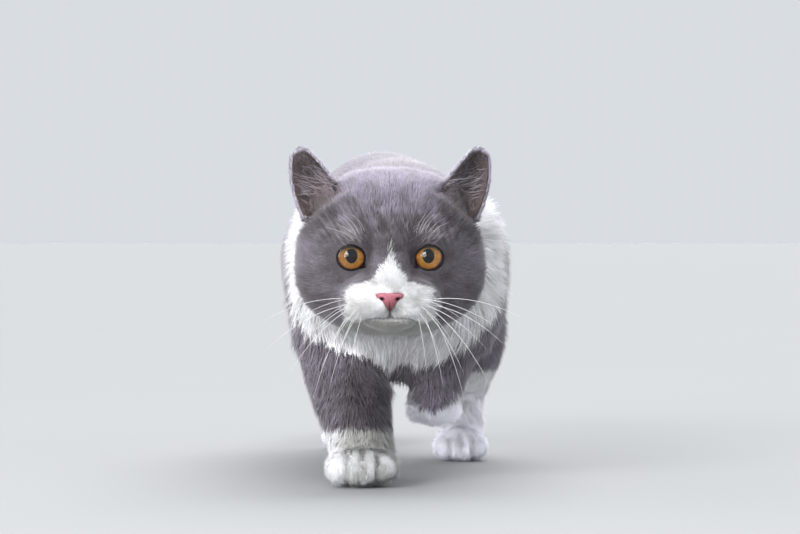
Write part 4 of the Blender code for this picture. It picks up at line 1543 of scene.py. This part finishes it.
WHISKER_ROWS = 4
WHISKER_COLUMNS = 3
WHISKER_START = (16.5, -24.5)            # the first root, as (out, over the eyes)
WHISKER_STEP = (4.2, -3.3)
BROW_HAIRS = 7
BROW_START = (15.5, 13.5)
BROW_STEP = 1.5
BROW_LENGTH = 0.30                       # as a share of the longest whisker
IN_SKIN = 0.5 * MM                       # roots stand this deep
TUBE_SIDES = 5
TUBE_STEPS = 12
HAIR_TIP = 0.02 * MM                     # half of a whisker's width at its very end


def iris_finish(settings):
    """Amber iris with fine fibres, a dark rim and an upright oval pupil."""
    finish, tree, shader = new_finish("eye_amber", 0.6)
    shader.inputs["Specular IOR Level"].default_value = 0.0
    place = node(tree, "Attribute", attribute_name="eye_place").outputs["Vector"]
    split = node(tree, "SeparateXYZ", {"Vector": place})
    across, _, rise = split.outputs
    flat = node(tree, "CombineXYZ", {"X": across, "Y": rise})
    radius = node(tree, "VectorMath", {0: flat.outputs[0]}, operation="LENGTH").outputs["Value"]
    heading = node(tree, "VectorMath", {0: flat.outputs[0]}, operation="NORMALIZE").outputs["Vector"]
    turned = node(tree, "SeparateXYZ", {"Vector": heading})
    ray = node(tree, "CombineXYZ", {"X": turned.outputs[0], "Y": turned.outputs[1],
                                    "Z": math_node(tree, "MULTIPLY", radius, 0.05)})
    fibre = node(tree, "TexNoise", {"Vector": ray.outputs[0], "Scale": 9.0, "Detail": 5.0,
                                    "Roughness": 0.7}).outputs["Fac"]
    cloud = node(tree, "TexNoise", {"Vector": flat.outputs[0], "Scale": 0.35, "Detail": 2.0}).outputs["Fac"]
    wide = settings.pupil_width / MM / 2
    tall = settings.pupil_height / MM / 2
    oval = node(tree, "CombineXYZ", {"X": math_node(tree, "DIVIDE", across, wide),
                                     "Y": math_node(tree, "DIVIDE", rise, tall)})
    from_pupil = node(tree, "VectorMath", {0: oval.outputs[0]}, operation="LENGTH").outputs["Value"]

    def ringed(measure, start, end, inside, outside):
        """One colour up to the start of a ring and another past its end."""
        return mixed(tree, mapped(tree, measure, start, end, 0.0, 1.0), inside, outside)

    amber = ringed(from_pupil, 1.0, 1.9, rgba(settings.iris_inner), rgba(settings.iris_outer))
    amber = ringed(radius, IRIS_RADIUS * 0.80, IRIS_RADIUS * 0.98, amber, rgba(settings.iris_edge))
    value = math_node(tree, "MULTIPLY", mapped(tree, fibre, 0.3, 0.7, 0.70, 1.30),
                      mapped(tree, cloud, 0.3, 0.7, 0.9, 1.1))
    amber = shaded(tree, amber, value)
    # painted shadow of the upper lid: the iris darkens toward its top
    amber = shaded(tree, amber, mapped(tree, rise, 0.5, 6.5, 1.0, 0.42))
    with_pupil = ringed(from_pupil, 0.96, 1.05, PUPIL_DARK, amber)
    ball = ringed(radius, IRIS_RADIUS * 0.99, IRIS_RADIUS * 1.04, with_pupil, BALL_DARK)
    tree.links.new(ball, shader.inputs["Base Color"])
    bumped(tree, shader, fibre, 0.0002, 0.6)
    return finish


def cornea_finish():
    """Clear, wet cornea."""
    finish, _, shader = new_finish("cornea", 0.0, IOR=1.34, Transmission_Weight=1.0,
                                   Coat_Weight=1.0, Coat_Roughness=0.0, Coat_IOR=1.33)
    shader.inputs["Base Color"].default_value = (1.0, 1.0, 1.0, 1.0)
    return finish


def turned_form(name, centre, side, profile):
    """A round form turned about the line of sight: profile gives (out, ahead) from a polar angle."""
    deselect()
    bpy.ops.mesh.primitive_uv_sphere_add(segments=64, ring_count=64, radius=1.0, location=(0, 0, 0))
    made = bpy.context.object
    made.name = made.data.name = name
    places = points_of(made.data)
    polar = np.arccos(np.clip(places[:, 2], -1, 1))
    around = np.arctan2(places[:, 1], places[:, 0])
    out, ahead = profile(polar)
    local = np.stack([out * np.cos(around), -ahead, out * np.sin(around)], axis=1)
    turn = np.array(Matrix.Rotation(side * EYE_TURN, 3, "Z") @ Matrix.Rotation(-EYE_LIFT, 3, "X"))
    move_points(made.data, local @ turn.T * MM + np.array(centre))
    take_up(made)
    bpy.ops.object.shade_smooth()
    return made, local


def ball_profile(polar):
    """The eyeball, flattened in front to the plane of the iris."""
    radius = BALL / MM
    limit = math.asin(IRIS_RADIUS / radius)
    out = np.where(polar < limit, IRIS_RADIUS * polar / limit, radius * np.sin(polar))
    dish = IRIS_PLANE + IRIS_DOME * np.cos(np.clip(polar / limit, 0, 1) * math.pi / 2)
    ahead = np.where(polar < limit, dish, radius * np.cos(polar))
    return out, ahead


def cornea_profile(polar):
    """A clear dome that stands on the ball round the iris, closed behind it."""
    sag = CORNEA_TOP - CORNEA_FOOT
    curve = (LIMBUS ** 2 + sag ** 2) / (2 * sag)
    edge = math.asin(LIMBUS / curve)
    front = np.clip(polar / (math.pi / 2), 0, 1) * edge
    back = np.clip((math.pi - polar) / (math.pi / 2), 0, 1)
    out = np.where(polar <= math.pi / 2, curve * np.sin(front), LIMBUS * back)
    ahead = np.where(polar <= math.pi / 2, CORNEA_TOP - curve * (1 - np.cos(front)), CORNEA_BACK)
    return out, ahead


class CAT_OT_eyes(bpy.types.Operator):
    """Set both eyeballs, each with its iris, pupil and clear cornea"""

    bl_idname = "cat.make_eyes"
    bl_label = "Eyes"

    def execute(self, context):
        amber = iris_finish(settings_of("eyes"))
        clear = cornea_finish()
        for name, side in SIDES:
            ball, local = turned_form("eyeball_" + name, EYE[name], side, ball_profile)
            put_attribute(ball.data, "eye_place", local * (-side, 1, 1), "FLOAT_VECTOR")
            ball.data.materials.append(amber)
            finish_piece(ball, "eye_amber", "eye_" + name)
            cornea, _ = turned_form("cornea_" + name, EYE[name], side, cornea_profile)
            cornea.data.materials.append(clear)
            finish_piece(cornea, "eye_amber")
        return {"FINISHED"}


def nose_finish(settings):
    """Pink leather with fine pebbling, and painted shade in the nostrils, their slits, the cleft and the
    lower leather.
    """
    finish, tree, shader = new_finish("nose_leather", 0.42)
    shader.inputs["Specular IOR Level"].default_value = 0.45
    mottle = noise(tree, 500.0, 3.0)
    pale = [min(1.0, 1.12 * c + 0.03) for c in settings.leather]
    deep = [0.86 * c for c in settings.leather]
    leather = mixed(tree, mapped(tree, mottle, 0.3, 0.7, 0.0, 1.0), rgba(deep), rgba(pale))
    pit_shade = attribute(tree, "pit_shade")
    tree.links.new(mixed(tree, pit_shade, leather, rgba(settings.nostril)), shader.inputs["Base Color"])
    pebble = node(tree, "TexVoronoi", {"Vector": own_place(tree), "Scale": 2200.0}).outputs["Distance"]
    bumped(tree, shader, pebble, 0.00012)
    return finish


def nose_marks(out, rise, half_height):
    """From 0 to 1 on the leather: (nostril, slit beside it, wing over it, cleft in the middle)."""
    aside = np.abs(out) - NOSTRIL[0]
    over = rise - NOSTRIL[1] * half_height
    hole = np.exp(-((aside / 1.15) ** 2 + ((over - 0.12 * aside) / 0.95) ** 2) ** 1.3)
    slit = hump(over + 0.10 * aside ** 2 - 0.35 * aside, 0, 0.42)
    slit = slit * smoothstep(aside, -0.4, 0.8) * (1 - smoothstep(aside, 2.4, 3.8))
    wing = patch(aside, over, (1.2, 1.7), (1.8, 1.1))
    cleft = hump(out, 0, 0.45) * smoothstep(-rise, -1.5, 1.0)
    return hole, slit, wing, cleft


class CAT_OT_nose(bpy.types.Operator):
    """Model the nose leather with its nostrils and cleft"""

    bl_idname = "cat.make_nose"
    bl_label = "Nose"

    def execute(self, context):
        deselect()
        bpy.ops.mesh.primitive_grid_add(x_subdivisions=72, y_subdivisions=56, size=2.0, location=(0, 0, 0))
        nose = context.object
        nose.name = nose.data.name = "nose_leather"
        flat = points_of(nose.data)
        across, up = flat[:, 0], flat[:, 1]
        half_height = (NOSE_HIGH.z - NOSE_LOW.z) / 2 / MM
        half_width = (NOSE_HIGH.x - NOSE_LOW.x) / 2 / MM
        out = across * along_table(up, NOSE_OUTLINE) * half_width
        rise = up * half_height
        fall, power = NOSE_ROUND
        back = along_table(up, NOSE_PROFILE) + fall * np.abs(out / half_width) ** power
        roll, start = NOSE_EDGE
        back += roll * smoothstep(np.maximum(np.abs(across), np.abs(up)), start, 1.0) ** 2
        marks = nose_marks(out, rise, half_height)
        back += sum(depth * mark for depth, mark in zip(NOSE_DEPTH, marks))
        # painted shade in the nostrils, their slits and the cleft, and under the lower leather
        dark = sum(share * mark for share, mark in zip(NOSE_DARK, marks))
        dark += NOSE_LOW_DARK * (1 - smoothstep(up, -0.8, 0.7))
        place = np.stack([FACE.x + out * MM, NOSE_LOW.y + (back - NOSE_FORWARD) * MM,
                          (NOSE_LOW.z + NOSE_HIGH.z) / 2 + rise * MM], axis=1)
        move_points(nose.data, place)
        put_attribute(nose.data, "pit_shade", np.clip(dark, 0, 1))
        take_up(nose)
        bpy.ops.object.mode_set(mode="EDIT")
        bpy.ops.mesh.select_all(action="SELECT")
        bpy.ops.mesh.region_to_loop()
        bpy.ops.mesh.extrude_edges_move(TRANSFORM_OT_translate={"value": (0, NOSE_STUB, 0)})
        bpy.ops.mesh.edge_face_add()
        all_faces_out(nose)
        bpy.ops.object.shade_smooth()
        nose.data.materials.append(nose_finish(settings_of("nose")))
        finish_piece(nose, "nose_leather", "nose")
        return {"FINISHED"}


def bristles(name, strands, thickness, finish):
    """Tapered round hairs in one mesh; each strand is (start, heading, droop, length, share of thickness)."""
    points, faces = [], []
    for start, heading, droop, length, stout in strands:
        heading = Vector(heading).normalized()
        first = len(points)
        place = Vector(start)
        for step in range(TUBE_STEPS + 1):
            along = step / TUBE_STEPS
            aim = (heading + Vector(droop) * along).normalized()
            side = aim.cross(Vector((0.3, -0.9, 0.2))).normalized()
            top = aim.cross(side)
            radius = thickness * stout / 2 * (1 - along) ** 0.7 + HAIR_TIP
            for corner in range(TUBE_SIDES):
                turn = 2 * math.pi * corner / TUBE_SIDES
                points.append(place + (side * math.cos(turn) + top * math.sin(turn)) * radius)
            place = place + aim * (length / TUBE_STEPS)
        for step in range(TUBE_STEPS):
            near = first + step * TUBE_SIDES
            far = near + TUBE_SIDES
            for corner in range(TUBE_SIDES):
                after = (corner + 1) % TUBE_SIDES
                faces.append((near + corner, near + after, far + after, far + corner))
        faces.append(tuple(first + TUBE_STEPS * TUBE_SIDES + corner for corner in range(TUBE_SIDES)))
        faces.append(tuple(first + corner for corner in reversed(range(TUBE_SIDES))))
    mesh = bpy.data.meshes.new(name)
    mesh.from_pydata(points, [], faces)
    made = linked(name, mesh)
    all_faces_out(made)
    bpy.ops.object.shade_smooth()
    mesh.materials.append(finish)
    return made


def whisker(side, row, column, longest, draw):
    """One whisker: (out, up, heading, droop, length, share of thickness)."""
    inner = WHISKER_COLUMNS - 1 - column
    out = WHISKER_START[0] + WHISKER_STEP[0] * column + draw.uniform(-0.6, 0.6)
    up = WHISKER_START[1] + WHISKER_STEP[1] * row + draw.uniform(-0.5, 0.5)
    turn = math.radians(6 - 21 * row - 8 * inner + draw.uniform(-5, 5))
    heading = (side * math.cos(turn), -0.30 - 0.22 * inner, math.sin(turn))
    droop = (-side * 0.05, 0.30 + 0.2 * inner, -0.50 - 0.14 * row - 0.15 * draw.random())
    length = longest * (0.62 + 0.17 * column) * draw.uniform(0.86, 1.0)
    return out, up, heading, droop, length, 0.75 + 0.12 * column


def brow_hair(side, number, longest, draw):
    """One hair over an eye, in the same terms."""
    out = BROW_START[0] + BROW_STEP * number + draw.uniform(-0.8, 0.8)
    turn = math.radians(88 - 8 * number + draw.uniform(-9, 9))
    heading = (side * math.cos(turn), -0.75, math.sin(turn))
    up = BROW_START[1] + draw.uniform(-1.2, 1.2)
    length = BROW_LENGTH * longest * draw.uniform(0.55, 1.1)
    return out, up, heading, (side * 0.55, 0.75, -0.25), length, draw.uniform(0.3, 0.5)


class CAT_OT_whiskers(bpy.types.Operator):
    """Set the whiskers in the muzzle and the long hairs over the eyes"""

    bl_idname = "cat.make_whiskers"
    bl_label = "Whiskers"

    def execute(self, context):
        settings = settings_of("whiskers")
        draw = np.random.default_rng(5)
        skin = bpy.data.objects["skin"].data
        tree = BVHTree.FromPolygons([v.co for v in skin.vertices], [p.vertices for p in skin.polygons])
        finish, nodes, shader = new_finish("whisker", 0.35)
        tone = mixed(nodes, noise(nodes, 60.0), rgba([0.8 * c for c in settings.tone]), rgba(settings.tone))
        nodes.links.new(tone, shader.inputs["Base Color"])

        def rooted(side, strand):
            """The strand with its root on the skin."""
            out, up, *rest = strand
            start = Vector((FACE.x + side * out * MM, FACE.y - 80 * MM, FACE.z + up * MM))
            hit = tree.ray_cast(start, Vector((0, 1, 0)))
            if hit[0] is None:
                raise RuntimeError("a whisker has no skin to stand on")
            return (hit[0] + Vector((0, IN_SKIN, 0)), *rest)

        whiskers, brows = [], []
        for _, side in SIDES:
            for row in range(WHISKER_ROWS):
                for column in range(WHISKER_COLUMNS):
                    whiskers.append(rooted(side, whisker(side, row, column, settings.longest, draw)))
            for number in range(BROW_HAIRS):
                brows.append(rooted(side, brow_hair(side, number, settings.longest, draw)))
        finish_piece(bristles("whiskers", whiskers, settings.thickness, finish), "coat_white")
        finish_piece(bristles("brow_hairs", brows, settings.thickness, finish), "coat_white")
        return {"FINISHED"}


# ---- Floor, light and camera ----

# Soft suns: (name, where it stands, how wide it is in degrees, power).
SUNS = (
    ("back_top", (0.25, 1.0, 1.5), 55, 3.4),
    ("front_left", (-1.25, -1.5, 0.55), 40, 1.95),
    ("back_left", (-1.3, 0.9, 0.45), 50, 0.9),
)
WINDOW_PLACE = (-1.2, -1.8, 1.15)        # its glint shows in the eyes
WINDOW_AIM = (0, -0.25, 0.14)
WINDOW_SIZE = 0.8
WINDOW_POWER = 15.0
SKY_POWER = 0.80
CAMERA_FROM_FACE = Vector((0.006, -1.8, 0.015))
CAMERA_DIP = 0.66                        # degrees below level


def hung(name, lamp, place, aim=(0, 0, 0)):
    """A lamp at a place, turned to shine on another."""
    held = linked(name, lamp)
    held.location = place
    held.rotation_euler = (Vector(aim) - Vector(place)).to_track_quat("-Z", "Y").to_euler()


class CAT_OT_stage(bpy.types.Operator):
    """Lay the floor, hang the lights and place the camera"""

    bl_idname = "cat.make_stage"
    bl_label = "Stage"

    def execute(self, context):
        settings = settings_of("stage")
        deselect()
        bpy.ops.mesh.primitive_plane_add(size=80.0, location=(0, 0, 0))
        floor = context.object
        floor.name = "floor"
        finish, tree, shader = new_finish("floor", 0.85)
        tone = mixed(tree, noise(tree, 3.0), rgba(settings.floor), rgba([c * 0.97 for c in settings.floor]))
        tree.links.new(tone, shader.inputs["Base Color"])
        floor.data.materials.append(finish)
        world = bpy.data.worlds.new("surround")
        world.use_nodes = True
        backdrop = world.node_tree.nodes["Background"]
        backdrop.inputs["Color"].default_value = rgba(settings.sky)
        backdrop.inputs["Strength"].default_value = SKY_POWER
        context.scene.world = world
        for name, place, angle, power in SUNS:
            sun = bpy.data.lights.new(name, "SUN")
            sun.angle = math.radians(angle)
            sun.energy = power
            hung(name, sun, place)
        window = bpy.data.lights.new("window", "AREA")
        window.size = WINDOW_SIZE
        window.energy = WINDOW_POWER
        hung("window", window, WINDOW_PLACE, WINDOW_AIM)
        lens = bpy.data.cameras.new("camera")
        lens.lens = settings.lens
        lens.sensor_width = 36.0
        lens.clip_start = 0.05
        camera = linked("camera", lens)
        camera.location = FACE + CAMERA_FROM_FACE
        camera.rotation_euler = (math.radians(90 - CAMERA_DIP), 0, 0)
        context.scene.camera = camera
        context.scene.view_settings.view_transform = "Standard"
        return {"FINISHED"}


STEPS = (CAT_OT_skin, CAT_OT_eyes, CAT_OT_nose, CAT_OT_coat, CAT_OT_whiskers, CAT_OT_stage)


class CAT_PT_panel(bpy.types.Panel):
    """The cat's settings and steps"""

    bl_idname = "CAT_PT_panel"
    bl_label = "Walking cat"
    bl_space_type = "VIEW_3D"
    bl_region_type = "UI"
    bl_category = "Cat"

    def draw(self, context):
        for name, group in GROUPS:
            box = self.layout.box()
            box.label(text=name.title())
            for field in group.__annotations__:
                box.prop(settings_of(name), field)
        for step in STEPS:
            self.layout.operator(step.bl_idname)


GROUPS = (("skin", SkinSettings), ("eyes", EyeSettings), ("nose", NoseSettings),
          ("coat", CoatSettings), ("whiskers", WhiskerSettings), ("stage", StageSettings))
CLASSES = tuple(group for _, group in GROUPS) + STEPS + (CAT_PT_panel,)


def register():
    """Makes the settings, the steps and the panel known."""
    for made in CLASSES:
        bpy.utils.register_class(made)
    for name, group in GROUPS:
        setattr(bpy.types.Scene, "cat_" + name, PointerProperty(type=group))


def unregister():
    """Takes them away again."""
    for name, _ in GROUPS:
        delattr(bpy.types.Scene, "cat_" + name)
    for made in reversed(CLASSES):
        bpy.utils.unregister_class(made)


def main():
    """Makes every piece in order."""
    register()
    for step in STEPS:
        group, operation = step.bl_idname.split(".")
        getattr(getattr(bpy.ops, group), operation)()


if __name__ == "__main__":
    main()
